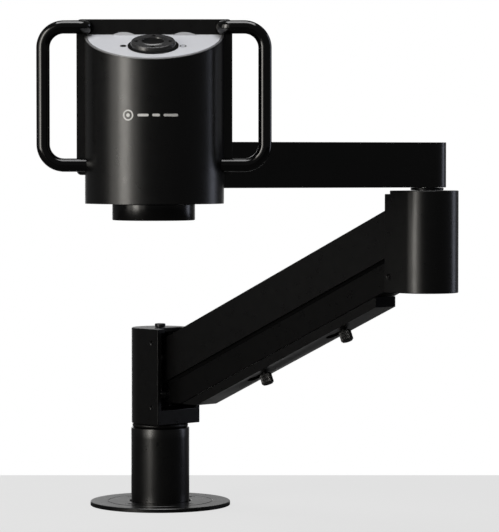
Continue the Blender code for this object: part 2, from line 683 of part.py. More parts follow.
def make_handle(frame, label, side):
    """Upper end turned back into the plate, a D-shaped grip, lower end in the shell's side."""
    front, low, high = PLATE_FRONT - HANDLE_REACH, *HANDLE_Z
    small = 0.009
    points = [(0.058, PLATE_FRONT + 0.0052, high)]
    for x, y in arc((0.058 + small, front + small), small, 180, 270, 6):
        points.append((x, y, high))
    for x, z in arc((HANDLE_HALF - HANDLE_BEND, high - HANDLE_BEND), HANDLE_BEND, 90, 0, 8):
        points.append((x, front, z))
    for x, z in arc((HANDLE_HALF - HANDLE_BEND, low + HANDLE_BEND), HANDLE_BEND, 0, -90, 8):
        points.append((x, front, z))
    points.append((0.0565, front, low))
    tube(f"handle_{label}", frame, [(side * x, y, z) for x, y, z in points], HANDLE_R, BLACK_TUBE)


def make_optics(frame):
    lens_y = PLATE_FRONT - LENS_DEPTH
    plan_prism("bottom_plate", frame, [
        half_disc(BODY_R - BODY_WALL - GAP, GAP), arc((0, lens_y), 0.0210, 0, 348, 29),
    ], BODY_BOTTOM + GAP, BODY_BOTTOM + 0.0031, BLACK)
    top, low = BODY_BOTTOM - GAP, LIGHT_BOTTOM
    turned("ring_light_housing", frame, [
        (0.0210, top), (LIGHT_R, top), (LIGHT_R, low + 0.0006), (LIGHT_R - 0.0006, low),
        (0.0335, low), (0.0335, low + 0.004), (0.0238, low + 0.004), (0.0238, low), (0.0210, low),
    ], BLACK, at=(0, lens_y), steps=32, closed=True)
    turned("light_diffuser", frame, annulus(0.0241, 0.0332, low + 0.0008, low + 0.0026),
           DIFFUSER, at=(0, lens_y), steps=32, closed=True)
    turned("lens_barrel", frame, annulus(0.0173, 0.0205, low + 0.0015, 0.3460), BLACK_PLASTIC,
           at=(0, lens_y), closed=True)
    turned("front_lens", frame, [
        (0, low + 0.0090), (0.0170, low + 0.0075), (0.0170, low + 0.0055), (0.0090, low + 0.0037),
        (0, low + 0.0030),
    ], GLASS, at=(0, lens_y))
    box("camera_module", frame, (-0.028, PLATE_FRONT - 0.046, 0.3463),
        (0.028, PLATE_FRONT - 0.004, 0.392), BLACK_PLASTIC)
    board = box("control_board", frame, (-0.030, -0.018, -0.0106), (0.030, 0.018, -0.009), BOARD)
    board.location = frame.zero + Vector((0, PLATE_FRONT - RING_DEPTH,
                                          PANEL_REAR_Z - RING_DEPTH * math.tan(PANEL_TILT)))
    board.rotation_euler = (PANEL_TILT, 0, 0)


def make_rear(frame):
    rear = PLATE_FRONT + PLATE_THICK
    housing = box("rear_housing", frame, (-0.045, rear + GAP, 0.368),
                  (0.045, rear + 0.018, 0.445), BLACK)
    bevel(housing, 0.0015)
    combine(housing, box("rear_hollow", frame, (-0.0425, rear - 0.002, 0.3705),
                         (0.0425, rear + 0.0155, 0.4425)))
    base = rear + 0.018 + GAP
    yoke = box("tilt_yoke", frame, (-0.032, base, 0.388), (0.032, base + 0.006, 0.422), BLACK)
    lug_r = 0.013
    outline = [(base + 0.001, TILT_Z - lug_r)] + arc((0, TILT_Z), lug_r, -90, 90, 14)
    outline.append((base + 0.001, TILT_Z + lug_r))
    hole = arc((0, TILT_Z), 0.006 + RUN, 0, 345, 23)
    for label, side in (("left", -1), ("right", 1)):
        lug = end_prism(f"tilt_lug_{label}", frame, [outline, hole], side * 0.027, 0.006)
        combine(yoke, lug, "UNION")
        rod(f"tilt_spacer_{label}", frame, (side * 0.0184, 0, TILT_Z), (side * 0.0237, 0, TILT_Z),
            0.010, BRONZE)
        spacer = bpy.data.objects[f"tilt_spacer_{label}"]
        combine(spacer, rod(f"spacer_bore_{label}", frame, (side * 0.010, 0, TILT_Z),
                            (side * 0.030, 0, TILT_Z), 0.006 + RUN))


def make_control_ring(frame):
    turned("control_ring", frame, [
        (0.0092, 0.0040), (0.0100, 0.0050), (0.0115, 0.0044), (0.0184, 0.0046), (0.0190, 0.0038),
        (0.0194, 0.0012), (RING_R, 0.0009), (RING_R, GAP), (0.0092, GAP),
    ], BLACK_PLASTIC, steps=32, closed=True)


def make_centre_button(frame):
    turned("centre_button", frame, [
        (0, 0.0050), (0.0045, 0.0048), (0.0075, 0.0043), (0.0088, 0.0037), (0.0088, 0.0026),
        (0.0050, 0.0024), (0.0050, -0.0060), (0, -0.0060),
    ], BLACK_PLASTIC, steps=24)


# ---------------------------------------------------------------- the whole object
def make_all():
    base = Frame("base_origin", (0, 0, 0))
    make_base(base)
    make_column(base)
    make_turret(Frame("swivel_axis", (0, 0, 0), ARM_AZIMUTH))

    across, forward = math.cos(ARM_AZIMUTH), math.sin(ARM_AZIMUTH)
    pin_place = (PIN_OFFSET * across, PIN_OFFSET * forward)
    upper = Frame("upper_link_axis", (*pin_place, UPPER_PIN_Z), ARM_AZIMUTH,
                  (-PIN_OFFSET, 0, -UPPER_PIN_Z))
    lower = Frame("lower_link_axis", (*pin_place, LOWER_PIN_Z), ARM_AZIMUTH,
                  (-PIN_OFFSET, 0, -LOWER_PIN_Z))
    make_upper_link(upper)
    make_lower_link(lower)
    make_tray(lower)
    for index, t in enumerate(THUMBSCREW_T):
        foot = (t * across, t * forward, rise(TRAY_BOTTOM, t))
        make_thumbscrew(Frame(f"thumbscrew_axis_{index + 1}", foot, ARM_AZIMUTH,
                              pitch=-ARM_SLOPE), index + 1)

    knuckle = (KNUCKLE_T * across, KNUCKLE_T * forward)
    make_knuckle(Frame("knuckle_axis", (*knuckle, 0), ARM_AZIMUTH + math.pi))
    make_beam(Frame("beam_axis", (*knuckle, 0), BEAM_AZIMUTH))

    pan_x = knuckle[0] + BEAM_LENGTH * math.cos(BEAM_AZIMUTH)
    pan_y = knuckle[1] + BEAM_LENGTH * math.sin(BEAM_AZIMUTH)
    make_carrier(Frame("pan_axis", (pan_x, pan_y, 0)))
    head = Frame("tilt_axis", (pan_x, pan_y, TILT_Z), 0.0, (0, 0, -TILT_Z))
    make_shell(head)
    make_top_panel(head)
    make_plate(head)
    make_handle(head, "left", -1)
    make_handle(head, "right", 1)
    make_optics(head)
    make_rear(head)
    ring_z = PANEL_REAR_Z - RING_DEPTH * math.tan(PANEL_TILT)
    control = Frame("control_axis", (pan_x, pan_y + PLATE_FRONT - RING_DEPTH, ring_z),
                    roll=PANEL_TILT)
    make_control_ring(control)
    make_centre_button(control)


make_all()
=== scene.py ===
"""Looks of the camera magnifier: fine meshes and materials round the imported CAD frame."""

import json
import math

import bmesh
import bpy
from mathutils import Matrix, Vector


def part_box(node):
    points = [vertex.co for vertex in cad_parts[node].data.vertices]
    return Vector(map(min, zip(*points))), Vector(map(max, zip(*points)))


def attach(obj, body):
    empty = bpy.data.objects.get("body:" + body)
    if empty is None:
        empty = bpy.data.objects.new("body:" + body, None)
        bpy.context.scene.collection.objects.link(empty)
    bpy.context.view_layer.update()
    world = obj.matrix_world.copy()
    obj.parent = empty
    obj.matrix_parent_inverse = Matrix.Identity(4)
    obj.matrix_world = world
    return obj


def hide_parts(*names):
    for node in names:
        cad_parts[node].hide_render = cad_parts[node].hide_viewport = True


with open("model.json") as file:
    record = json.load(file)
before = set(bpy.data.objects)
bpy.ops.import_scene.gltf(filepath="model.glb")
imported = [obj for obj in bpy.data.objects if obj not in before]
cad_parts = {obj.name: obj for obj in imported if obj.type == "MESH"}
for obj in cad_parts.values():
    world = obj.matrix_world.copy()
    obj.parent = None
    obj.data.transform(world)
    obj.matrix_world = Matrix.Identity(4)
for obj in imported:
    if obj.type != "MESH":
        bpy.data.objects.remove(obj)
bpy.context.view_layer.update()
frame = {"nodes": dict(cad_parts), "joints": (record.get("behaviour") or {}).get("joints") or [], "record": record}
NODES = frame["nodes"]
JOINTS = {joint["name"]: joint for joint in frame["joints"]}

# ---------------------------------------------------------------- sizes, in metres
FLANGE_R, FLANGE_RING_R = 0.0700, 0.0520
COLUMN_R, WASHER_R = 0.0291, 0.0279
BRACKET_R, POCKET_HALF, POCKET_REAR = 0.0286, 0.0236, -0.010
BRACKET_FLOOR, BRACKET_LID = 0.0150, 0.0045
NOTCH_START, NOTCH_HALF = 0.011, 0.019
PIN_OFFSET = 0.0182
COVER_TOP, SEAM, CHANNEL_BOTTOM, TRAY_BOTTOM = 0.1585, 0.1149, 0.0854, 0.0752
# The last of these is the height of the near-black strip of painted shade under the cover's seam.
COVER_HALF, CHANNEL_HALF, SHEET, SEAM_SHADOW_DEPTH = 0.0160, 0.0135, 0.0020, 0.0038
UNDERCUT_Z, TRAY_END_T = 0.1046, 0.3060
THUMBSCREW_T, THUMBSCREW_R, KEYHOLE_REACH = (0.1485, 0.2535), 0.006, 0.0165
BEAM_HALF, BEAM_LENGTH = 0.0172, 0.254
PLATE_FRONT, PLATE_THICK, PLATE_HALF = -0.062, 0.008, 0.0667
BODY_R, BODY_WALL, RIM = 0.0595, 0.0030, 0.0018
PANEL_REAR_Z, PANEL_THICK, EDGE_THICK = 0.4522, 0.0020, 0.0009
LENS_DEPTH, LIGHT_R = 0.022, 0.0352
RING_R = 0.0216
HANDLE_R, HANDLE_HALF, HANDLE_BEND, HANDLE_REACH = 0.00575, 0.0946, 0.0178, 0.010
HANDLE_Z = (0.3405, 0.4581)
HANDLE_ROOT_X, HANDLE_ROOT_BEND, HANDLE_FOOT_X = 0.058, 0.009, 0.0565
GAP = 0.0003                # clearance between neighbouring pieces
WELD = 0.000002             # vertices closer than this are one
PIN_HOLE_R, TILT_AXLE_R, TILT_HOLE_R = 0.0043, 0.0060, 0.0063
SWIVEL_HOLE_R, SHAFT_HOLE_R = 0.0153, 0.0093
COLUMN_FRONT, KNUCKLE_FRONT = 0.0275, 0.0260
COVER_START, COVER_END, COVER_SHOULDER = 0.0170, 0.3330, 0.3230
CHANNEL_START, CHANNEL_END, CHANNEL_LAP = 0.0277, 0.3335, 0.0098
LIGHT_OPENING_R, LIGHT_WINDOW_R = 0.0210, 0.0335
LENS_BARREL_R, LENS_TOP, LENS_GLASS_R = 0.0205, 0.346, 0.0170
DIAL_BORE_R, DIAL_BUTTON_R, DIAL_MARK_REACH = 0.0092, 0.0088, 0.0253
PANEL_ZONE = (0.40, 0.48)   # heights between which the panel's slanted cuts lie
TILT_LUG_R, TILT_LUG_X, TILT_PLATE_HALF = 0.013, 0.027, 0.032
REAR_DEPTH, CASE_SCREW_X = 0.018, 0.037


# ---------------------------------------------------------------- frames taken from the joints
def joint_place(name):
    return Vector(JOINTS[name]["pos_m"])


def upright(origin, along):
    """A frame with x along a level direction, z up and its zero height on the desk."""
    x = Vector((along[0], along[1], 0)).normalized()
    z = Vector((0, 0, 1))
    y = z.cross(x)
    turn = Matrix((x, y, z)).transposed().to_4x4()
    return Matrix.Translation((origin[0], origin[1], 0)) @ turn


COLUMN_PIN, KNUCKLE_PIN = joint_place("arm_lift"), joint_place("knuckle_level")
LINK = KNUCKLE_PIN - COLUMN_PIN
SLOPE = math.atan2(LINK.z, math.hypot(LINK.x, LINK.y))
ARM = upright((0, 0), LINK)
KNUCKLE_AXIS = joint_place("beam_swivel")
PAN_AXIS = joint_place("head_pan")
KNUCKLE = upright(KNUCKLE_AXIS, -LINK)
BEAM = upright(KNUCKLE_AXIS, PAN_AXIS - KNUCKLE_AXIS)
HEAD = upright(PAN_AXIS, (1, 0))
TILT_Z = joint_place("head_tilt").z
RING_AXIS = Vector(JOINTS["zoom_ring_turn"]["axis"])
PANEL_TILT = math.atan2(-RING_AXIS.y, RING_AXIS.z)
CONTROL = Matrix.Translation(joint_place("zoom_ring_turn")) @ Matrix.Rotation(PANEL_TILT, 4, "X")
BASE = Matrix.Identity(4)


def rise(height, t):
    """Height at t of a long edge of the arm that starts at `height` over the column's axis."""
    return height + t * math.tan(SLOPE)


# ---------------------------------------------------------------- materials
def node(tree, kind, **settings):
    made = tree.nodes.new(kind)
    for key, value in settings.items():
        setattr(made, key, value)
    return made


def noise(tree, coords, scale, detail=3.0):
    made = node(tree, "ShaderNodeTexNoise")
    made.inputs["Scale"].default_value = scale
    made.inputs["Detail"].default_value = detail
    tree.links.new(coords, made.inputs["Vector"])
    return made.outputs["Fac"]


def spread(tree, fac, low, high, start=0.3, end=0.7):
    """Maps a 0 to 1 noise to a range of values."""
    made = node(tree, "ShaderNodeMapRange")
    made.inputs["From Min"].default_value = start
    made.inputs["From Max"].default_value = end
    made.inputs["To Min"].default_value = low
    made.inputs["To Max"].default_value = high
    tree.links.new(fac, made.inputs["Value"])
    return made.outputs["Result"]


def two_tone(tree, fac, dark, light):
    made = node(tree, "ShaderNodeMix", data_type="RGBA")
    made.inputs[6].default_value = (*dark, 1)
    made.inputs[7].default_value = (*light, 1)
    tree.links.new(fac, made.inputs[0])
    return made.outputs[2]


def surface(name, dark, light, rough, metallic=0.0, grain=1400, bump=0.06,
            brushed=None, coat=0.0, specular=0.5):
    """A satin surface: uneven colour and gloss over a fine grain."""
    material = bpy.data.materials.new(name)
    material.use_nodes = True
    tree = material.node_tree
    shader = tree.nodes["Principled BSDF"]
    shader.inputs["Metallic"].default_value = metallic
    shader.inputs["Specular IOR Level"].default_value = specular
    shader.inputs["Coat Weight"].default_value = coat
    shader.inputs["Coat Roughness"].default_value = 0.2
    coords = node(tree, "ShaderNodeTexCoord").outputs["Object"]
    patches = noise(tree, coords, 45, 4)
    color = two_tone(tree, patches, dark, light)
    tree.links.new(color, shader.inputs["Base Color"])
    gloss = noise(tree, coords, 120, 5)
    tree.links.new(spread(tree, gloss, rough[0], rough[1]), shader.inputs["Roughness"])
    fine = coords
    if brushed:
        stretch = node(tree, "ShaderNodeMapping")
        stretch.inputs["Scale"].default_value = brushed
        tree.links.new(coords, stretch.inputs["Vector"])
        fine = stretch.outputs["Vector"]
    grains = noise(tree, fine, grain, 2)
    relief = node(tree, "ShaderNodeBump")
    relief.inputs["Strength"].default_value = bump
    relief.inputs["Distance"].default_value = 0.0002
    tree.links.new(grains, relief.inputs["Height"])
    tree.links.new(relief.outputs["Normal"], shader.inputs["Normal"])
    return material


def make_materials():
    return {
        "black_anodised": surface("black_anodised", (0.0009, 0.0009, 0.0010),
                                  (0.0016, 0.0016, 0.0017), (0.27, 0.31), 0.0, 600, 0.012),
        "handle_tube": surface("handle_tube", (0.0008, 0.0008, 0.0009), (0.0014, 0.0014, 0.0015),
                               (0.09, 0.12), 0.0, 400, 0.01),
        "black_gloss": surface("black_gloss", (0.0003, 0.0003, 0.0004),
                               (0.0007, 0.0007, 0.0008), (0.20, 0.24), 0.0, 600, 0.012,
                               specular=0.45),
        "knob_metal": surface("knob_metal", (0.006, 0.006, 0.006), (0.012, 0.012, 0.012),
                              (0.30, 0.40), 0.0, 1800, 0.08),
        "black_plastic": surface("black_plastic", (0.0015, 0.0015, 0.0015),
                                 (0.0028, 0.0028, 0.0028), (0.36, 0.46), 0.0, 2200, 0.10,
                                 specular=0.35),
        "silver_panel": surface("silver_panel", (0.49, 0.50, 0.535), (0.54, 0.55, 0.585),
                                (0.42, 0.52), 0.15, 2600, 0.06),
        "steel": surface("steel", (0.42, 0.42, 0.43), (0.58, 0.58, 0.59), (0.22, 0.34), 1.0,
                         700, 0.12, (1, 1, 9)),
        "dark_steel": surface("dark_steel", (0.018, 0.018, 0.019), (0.04, 0.04, 0.042),
                              (0.28, 0.38), 0.8, 1600, 0.10),
        "bronze": surface("bronze", (0.30, 0.18, 0.08), (0.48, 0.31, 0.15), (0.32, 0.46), 1.0,
                          2400, 0.20),
        "diffuser": surface("diffuser", (0.78, 0.79, 0.80), (0.86, 0.87, 0.88), (0.50, 0.60)),
        "circuit_board": surface("circuit_board", (0.01, 0.09, 0.04), (0.02, 0.16, 0.07),
                                 (0.35, 0.5), 0.0, 500, 0.3),
        # Near black with little gloss: print and the dial's dark parts, and also painted shade on the seam strips
        # and the tray's end face.
        "ink_and_painted_shade": surface("ink_and_painted_shade", (0.0006, 0.0006, 0.0007), (0.0012, 0.0012, 0.0013), (0.55, 0.65),
                       specular=0.06),
        "black_channel": surface("black_channel", (0.0007, 0.0007, 0.0008),
                                 (0.0012, 0.0012, 0.0013), (0.27, 0.31), 0.0, 600, 0.012,
                                 specular=0.36),
        "white_ink": surface("white_ink", (0.62, 0.62, 0.62), (0.70, 0.70, 0.70), (0.5, 0.6)),
        "ring_gloss": surface("ring_gloss", (0.020, 0.020, 0.021), (0.027, 0.027, 0.028),
                              (0.22, 0.28), 0.0, 1800, 0.04),
        # Painted highlight: a lighter grey for the shell's rim strip, standing in for the light its edge catches.
        "painted_edge_highlight": surface("painted_edge_highlight", (0.17, 0.172, 0.18), (0.21, 0.212, 0.22),
                               (0.30, 0.40), 0.4, 1800, 0.05),
    }


def make_glass():
    material = bpy.data.materials.new("lens_glass")
    material.use_nodes = True
    tree = material.node_tree
    shader = tree.nodes["Principled BSDF"]
    shader.inputs["Roughness"].default_value = 0.03
    shader.inputs["Coat Weight"].default_value = 0.6
    coords = node(tree, "ShaderNodeTexCoord").outputs["Object"]
    tint = two_tone(tree, noise(tree, coords, 25, 1), (0.010, 0.012, 0.030), (0.020, 0.010, 0.035))
    tree.links.new(tint, shader.inputs["Base Color"])
    return material


MATERIALS = make_materials()
MATERIALS["lens_glass"] = make_glass()


# ---------------------------------------------------------------- mesh makers
def new_object(name, mesh, place):
    mesh.transform(place)
    obj = bpy.data.objects.new(name, mesh)
    bpy.context.scene.collection.objects.link(obj)
    return obj


def mesh_of(bm, name):
    mesh = bpy.data.meshes.new(name)
    bm.to_mesh(mesh)
    bm.free()
    return mesh


def arc(centre, radius, start, end, steps):
    """Points on an arc, from angle start to angle end in degrees."""
    points = []
    for step in range(steps + 1):
        angle = math.radians(start + (end - start) * step / steps)
        points.append((centre[0] + radius * math.cos(angle), centre[1] + radius * math.sin(angle)))
    return points


def rounded_outline(corners, steps=10):
    """A closed outline through corners of (x, y, radius), each replaced by its round."""
    points = []
    count = len(corners)
    for index, (x, y, radius) in enumerate(corners):
        if radius == 0:
            points.append((x, y))
            continue
        here = Vector((x, y))
        before = (Vector(corners[index - 1][:2]) - here).normalized()
        after = (Vector(corners[(index + 1) % count][:2]) - here).normalized()
        half = before.angle(after) / 2
        reach = radius / math.tan(half)
        middle = here + (before + after).normalized() * radius / math.sin(half)
        first, last = here + before * reach - middle, here + after * reach - middle
        start = math.degrees(math.atan2(first.y, first.x))
        sweep = -math.degrees(first.angle_signed(last))
        points += arc(tuple(middle), radius, start, start + sweep, steps)
    return points


def slab_mesh(name, loops, thickness):
    """A flat outline, with any holes in it, given a thickness centred on its plane."""
    curve = bpy.data.curves.new(name, "CURVE")
    curve.dimensions = "2D"
    curve.fill_mode = "BOTH"
    curve.extrude = thickness / 2
    for loop in loops:
        spline = curve.splines.new("POLY")
        spline.points.add(len(loop) - 1)
        for point, (x, y) in zip(spline.points, loop):
            point.co = (x, y, 0.0, 1.0)
        spline.use_cyclic_u = True
    guide = bpy.data.objects.new(name + "_guide", curve)
    bpy.context.scene.collection.objects.link(guide)
    graph = bpy.context.evaluated_depsgraph_get()
    mesh = bpy.data.meshes.new_from_object(guide.evaluated_get(graph))
    bpy.data.objects.remove(guide)
    bm = bmesh.new()
    bm.from_mesh(mesh)
    bmesh.ops.remove_doubles(bm, verts=bm.verts, dist=0.000001)
    bmesh.ops.dissolve_limit(bm, angle_limit=0.01, verts=bm.verts, edges=bm.edges)
    bmesh.ops.recalc_face_normals(bm, faces=bm.faces)
    bm.to_mesh(mesh)
    bm.free()
    mesh.name = name
    return mesh


STAND_SIDE = Matrix.Rotation(math.pi / 2, 4, "X")
STAND_END = Matrix.Rotation(math.pi / 2, 4, "Z") @ STAND_SIDE


def side_prism(name, place, loops, middle, thickness):
    """An outline in x and z, with its thickness along y about y = middle."""
    mesh = slab_mesh(name, loops, thickness)
    return new_object(name, mesh, place @ Matrix.Translation((0, middle, 0)) @ STAND_SIDE)


def end_prism(name, place, loops, middle, thickness):
    """An outline in y and z, with its thickness along x about x = middle."""
    mesh = slab_mesh(name, loops, thickness)
    return new_object(name, mesh, place @ Matrix.Translation((middle, 0, 0)) @ STAND_END)


def plan_prism(name, place, loops, low, high):
    """An outline in x and y, from height low to height high."""
    mesh = slab_mesh(name, loops, high - low)
    return new_object(name, mesh, place @ Matrix.Translation((0, 0, (low + high) / 2)))


def box(name, place, low, high):
    low, high = Vector(low), Vector(high)
    bm = bmesh.new()
    bmesh.ops.create_cube(bm, size=1.0)
    bm.transform(Matrix.Translation((low + high) / 2) @ Matrix.Diagonal((*(high - low), 1.0)))
    return new_object(name, mesh_of(bm, name), place)


def rod(name, place, start, end, radius, sides=48, end_radius=None):
    """A round or many-sided bar from start to end."""
    start, end = Vector(start), Vector(end)
    far = radius if end_radius is None else end_radius
    bm = bmesh.new()
    bmesh.ops.create_cone(bm, cap_ends=True, segments=sides, radius1=radius, radius2=far,
                          depth=(end - start).length)
    turn = (end - start).to_track_quat("Z", "Y").to_matrix().to_4x4()
    return new_object(name, mesh_of(bm, name),
                      place @ Matrix.Translation((start + end) / 2) @ turn)


def turned(name, place, profile, at=(0, 0), steps=96, closed=False):
    """A turned shape: radius and height pairs, running down its outer side, about z."""
    bm = bmesh.new()
    verts = [bm.verts.new((radius, 0, height)) for radius, height in profile]
    edges = [bm.edges.new((verts[i], verts[i + 1])) for i in range(len(verts) - 1)]
    if closed:
        edges.append(bm.edges.new((verts[-1], verts[0])))
    bmesh.ops.spin(bm, geom=verts + edges, cent=(0, 0, 0), axis=(0, 0, 1),
                   angle=2 * math.pi, steps=steps, use_duplicate=False)
    bmesh.ops.remove_doubles(bm, verts=bm.verts, dist=WELD)
    bmesh.ops.recalc_face_normals(bm, faces=bm.faces)
    return new_object(name, mesh_of(bm, name), place @ Matrix.Translation((at[0], at[1], 0)))


def apply_tool(obj, tool, operation):
    modifier = obj.modifiers.new("tool", "BOOLEAN")
    modifier.operation = operation
    modifier.object = tool
    graph = bpy.context.evaluated_depsgraph_get()
    mesh = bpy.data.meshes.new_from_object(obj.evaluated_get(graph))
    obj.modifiers.clear()
    obj.data = mesh
    bpy.data.objects.remove(tool)


def cut(obj, *tools):
    for tool in tools:
        apply_tool(obj, tool, "DIFFERENCE")


def fuse(obj, *tools):
    for tool in tools:
        apply_tool(obj, tool, "UNION")


def tube(name, place, points, radius, sides_step=14):
    curve = bpy.data.curves.new(name, "CURVE")
    curve.dimensions = "3D"
    curve.bevel_depth = radius
    curve.bevel_resolution = sides_step
    curve.use_fill_caps = True
    spline = curve.splines.new("POLY")
    spline.points.add(len(points) - 1)
    for point, spot in zip(spline.points, points):
        point.co = (*spot, 1.0)
    guide = bpy.data.objects.new(name + "_guide", curve)
    bpy.context.scene.collection.objects.link(guide)
    graph = bpy.context.evaluated_depsgraph_get()
    mesh = bpy.data.meshes.new_from_object(guide.evaluated_get(graph))
    bpy.data.objects.remove(guide)
    bm = bmesh.new()
    bm.from_mesh(mesh)
    bmesh.ops.remove_doubles(bm, verts=bm.verts, dist=WELD)
    bm.to_mesh(mesh)
    bm.free()
    return new_object(name, mesh, place)


def finish(obj, body, material, stands_for=(), edge=0.0, segments=3, angle=32):
    """Rounds a piece's edges, shades it, and gives it its finish and the body it rides on."""
    mesh = obj.data
    mesh.materials.clear()
    mesh.materials.append(MATERIALS[material])
    for polygon in mesh.polygons:
        polygon.material_index = 0
    mesh.shade_smooth()
    mesh.set_sharp_from_angle(angle=math.radians(angle))
    if edge:
        modifier = obj.modifiers.new("edge", "BEVEL")
        modifier.width = edge
        modifier.segments = segments
        modifier.limit_method = "ANGLE"
        modifier.angle_limit = math.radians(angle)
        modifier.harden_normals = True
    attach(obj, body)
    if stands_for:
        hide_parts(*stands_for)


def hex_socket(name, place, top, axis, across, depth):
    """A cutter for a hexagon socket, sunk from `top` against `axis`."""
    top, axis = Vector(top), Vector(axis).normalized()
    return rod(name, place, top - axis * depth, top + axis * 0.002, across / math.sqrt(3), 6)


# ---------------------------------------------------------------- desk flange and column
def make_base():
    flange = turned("flange_disc", BASE, [
        (0, 0.0025), (FLANGE_RING_R + 0.0004, 0.0025), (FLANGE_RING_R + 0.0004, 0.0036),
        (FLANGE_RING_R + 0.0008, 0.0040), (FLANGE_R - 0.0006, 0.0040), (FLANGE_R, 0.0034),
        (FLANGE_R, 0.0003), (FLANGE_R - 0.0003, 0), (0, 0),
    ], steps=160)
    finish(flange, "base", "black_anodised", ["base_flange"])
    ring = turned("flange_insert", BASE, [
        (COLUMN_R + 0.0019, 0.0039), (COLUMN_R + 0.0022, 0.0041), (FLANGE_RING_R - 0.0006, 0.0041),
        (FLANGE_RING_R, 0.0035), (FLANGE_RING_R, 0.0028), (COLUMN_R + 0.0017, 0.0028),
        (COLUMN_R + 0.0017, 0.0036),
    ], steps=160, closed=True)
    screws = []
    for index in range(4):
        low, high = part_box(f"flange_screw_{index + 1}")
        x, y = (low.x + high.x) / 2, (low.y + high.y) / 2
        cut(ring, rod("sink", BASE, (x, y, 0.0020), (x, y, 0.0060), 0.0047))
        screw = rod(f"flange_bolt_{index + 1}", BASE, (x, y, 0.0029), (x, y, 0.0041), 0.0044)
        cut(screw, hex_socket("socket", BASE, (x, y, 0.0041), (0, 0, 1), 0.004, 0.0009))
        screws.append(screw)
    finish(ring, "base", "black_anodised", ["flange_ring"], 0.0001)
    for index, screw in enumerate(screws):
        finish(screw, "base", "dark_steel", [f"flange_screw_{index + 1}"], 0.0003)


def make_column():
    grub_low, grub_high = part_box("column_set_screw")
    z = (grub_low.z + grub_high.z) / 2
    low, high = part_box("column_tube")
    column = turned("column_sleeve", BASE, [
        (0.0195, high.z - 0.02), (0.0195, high.z), (COLUMN_R - 0.0009, high.z),
        (COLUMN_R - 0.0003, high.z - 0.0003), (COLUMN_R, high.z - 0.0009), (COLUMN_R, z + 0.005),
        (COLUMN_R, z - 0.005), (COLUMN_R, low.z + 0.0006),
        (COLUMN_R - 0.0006, low.z), (0, low.z), (0, high.z - 0.02),
    ], steps=128)
    cut(column, rod("hole", BASE, (0, -0.032, z), (0, -0.022, z), 0.0026),
        rod("sink", BASE, (0, -COLUMN_R + 0.0003, z), (0, -COLUMN_R - 0.0007, z), 0.0026, 32, 0.0036))
    finish(column, "base", "black_anodised", ["column_tube"])
    screw = rod("column_grub", BASE, (0, grub_low.y, z), (0, grub_low.y + 0.006, z), 0.0023)
    cut(screw, hex_socket("socket", BASE, (0, grub_low.y, z), (0, -1, 0), 0.0022, 0.002))
    finish(screw, "base", "dark_steel", ["column_set_screw"], 0.0002)
    low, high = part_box("column_washer")
    washer = turned("column_slip_ring", BASE, [
        (0.0153, high.z), (WASHER_R - 0.0012, high.z), (WASHER_R - 0.0004, high.z - 0.0006),
        (WASHER_R, high.z - 0.0016), (WASHER_R, low.z + 0.0016), (WASHER_R - 0.0004, low.z + 0.0006),
        (WASHER_R - 0.0012, low.z), (0.0153, low.z),
    ], steps=128, closed=True)
    finish(washer, "base", "black_plastic", ["column_washer"])


# ---------------------------------------------------------------- brackets
def make_bracket(name, place, base, lid, front, shaft_r, pin_heights):
    """A pocketed bracket: base is the height of its thick end, lid that of its notched end."""
    way = 1 if lid > base else -1
    outline = arc((0, 0), BRACKET_R, 90, 270, 72) + [(front, -BRACKET_R), (front, BRACKET_R)]
    bracket = plan_prism(name, place, [outline], min(base, lid), max(base, lid))
    floor, ceiling = base + way * BRACKET_FLOOR, lid - way * BRACKET_LID
    pocket = plan_prism("pocket", place, [rounded_outline([
        (POCKET_REAR, -POCKET_HALF, 0.004), (front + 0.01, -POCKET_HALF, 0),
        (front + 0.01, POCKET_HALF, 0), (POCKET_REAR, POCKET_HALF, 0.004),
    ])], min(floor, ceiling), max(floor, ceiling))
    inner, beyond = ceiling - way * 0.001, lid + way * 0.002
    notch = plan_prism("notch", place, [rounded_outline([
        (NOTCH_START, -NOTCH_HALF, 0.003), (front + 0.01, -NOTCH_HALF, 0),
        (front + 0.01, NOTCH_HALF, 0), (NOTCH_START, NOTCH_HALF, 0.003),
    ])], min(inner, beyond), max(inner, beyond))
    bore = rod("bore", place, (0, 0, base - way * 0.001), (0, 0, base + way * 0.0098), shaft_r)
    cut(bracket, pocket, notch, bore)
    for height in pin_heights:
        reach = POCKET_HALF + 0.0033
        cut(bracket, rod("seat", place, (PIN_OFFSET, -reach, height), (PIN_OFFSET, reach, height),
                         PIN_HOLE_R, 32))
    return bracket


def add_grub(name, place, spot, axis, radius, node_name, bracket):
    """A small set screw sunk into a bracket's wall; cuts its hole there."""
    spot, axis = Vector(spot), Vector(axis)
    cut(bracket, rod("hole", place, spot - axis * 0.0055, spot + axis * 0.002, radius + 0.0003, 32))
    screw = rod(name, place, spot - axis * 0.0045, spot - axis * 0.0005, radius, 32)
    cut(screw, hex_socket("socket", place, spot - axis * 0.0005, axis, radius * 1.05, 0.0015))
    return screw, node_name


def make_turret():
    low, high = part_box("lower_bracket")
    pins = [joint_place("arm_lift").z, joint_place("lower_link_pivot").z]
    bracket = make_bracket("column_bracket", ARM, low.z, high.z, COLUMN_FRONT, SWIVEL_HOLE_R, pins)
    top = high.z
    cut(bracket, rod("hole", ARM, (0, 0, top - 0.0035), (0, 0, top + 0.01), 0.0033, 32))
    made = [add_grub(f"bracket_dowel_{label}", ARM, (0.0184, -BRACKET_R, height), (0, -1, 0),
                     0.0015, f"bracket_grub_{label}", bracket)
            for label, height in (("upper", 0.1641), ("lower", 0.1000))]
    finish(bracket, "turret", "black_anodised", ["lower_bracket"], 0.0008)
    for screw, stands_for in made:
        finish(screw, "turret", "dark_steel", [stands_for], 0.0002)
    head = rod("cap_screw", ARM, (0, 0, top + 0.0003), (0, 0, top + 0.0038), 0.00535)
    cut(head, hex_socket("socket", ARM, (0, 0, top + 0.0038), (0, 0, 1), 0.005, 0.0022))
    finish(head, "turret", "dark_steel", ["bracket_cap_screw"], 0.0009)


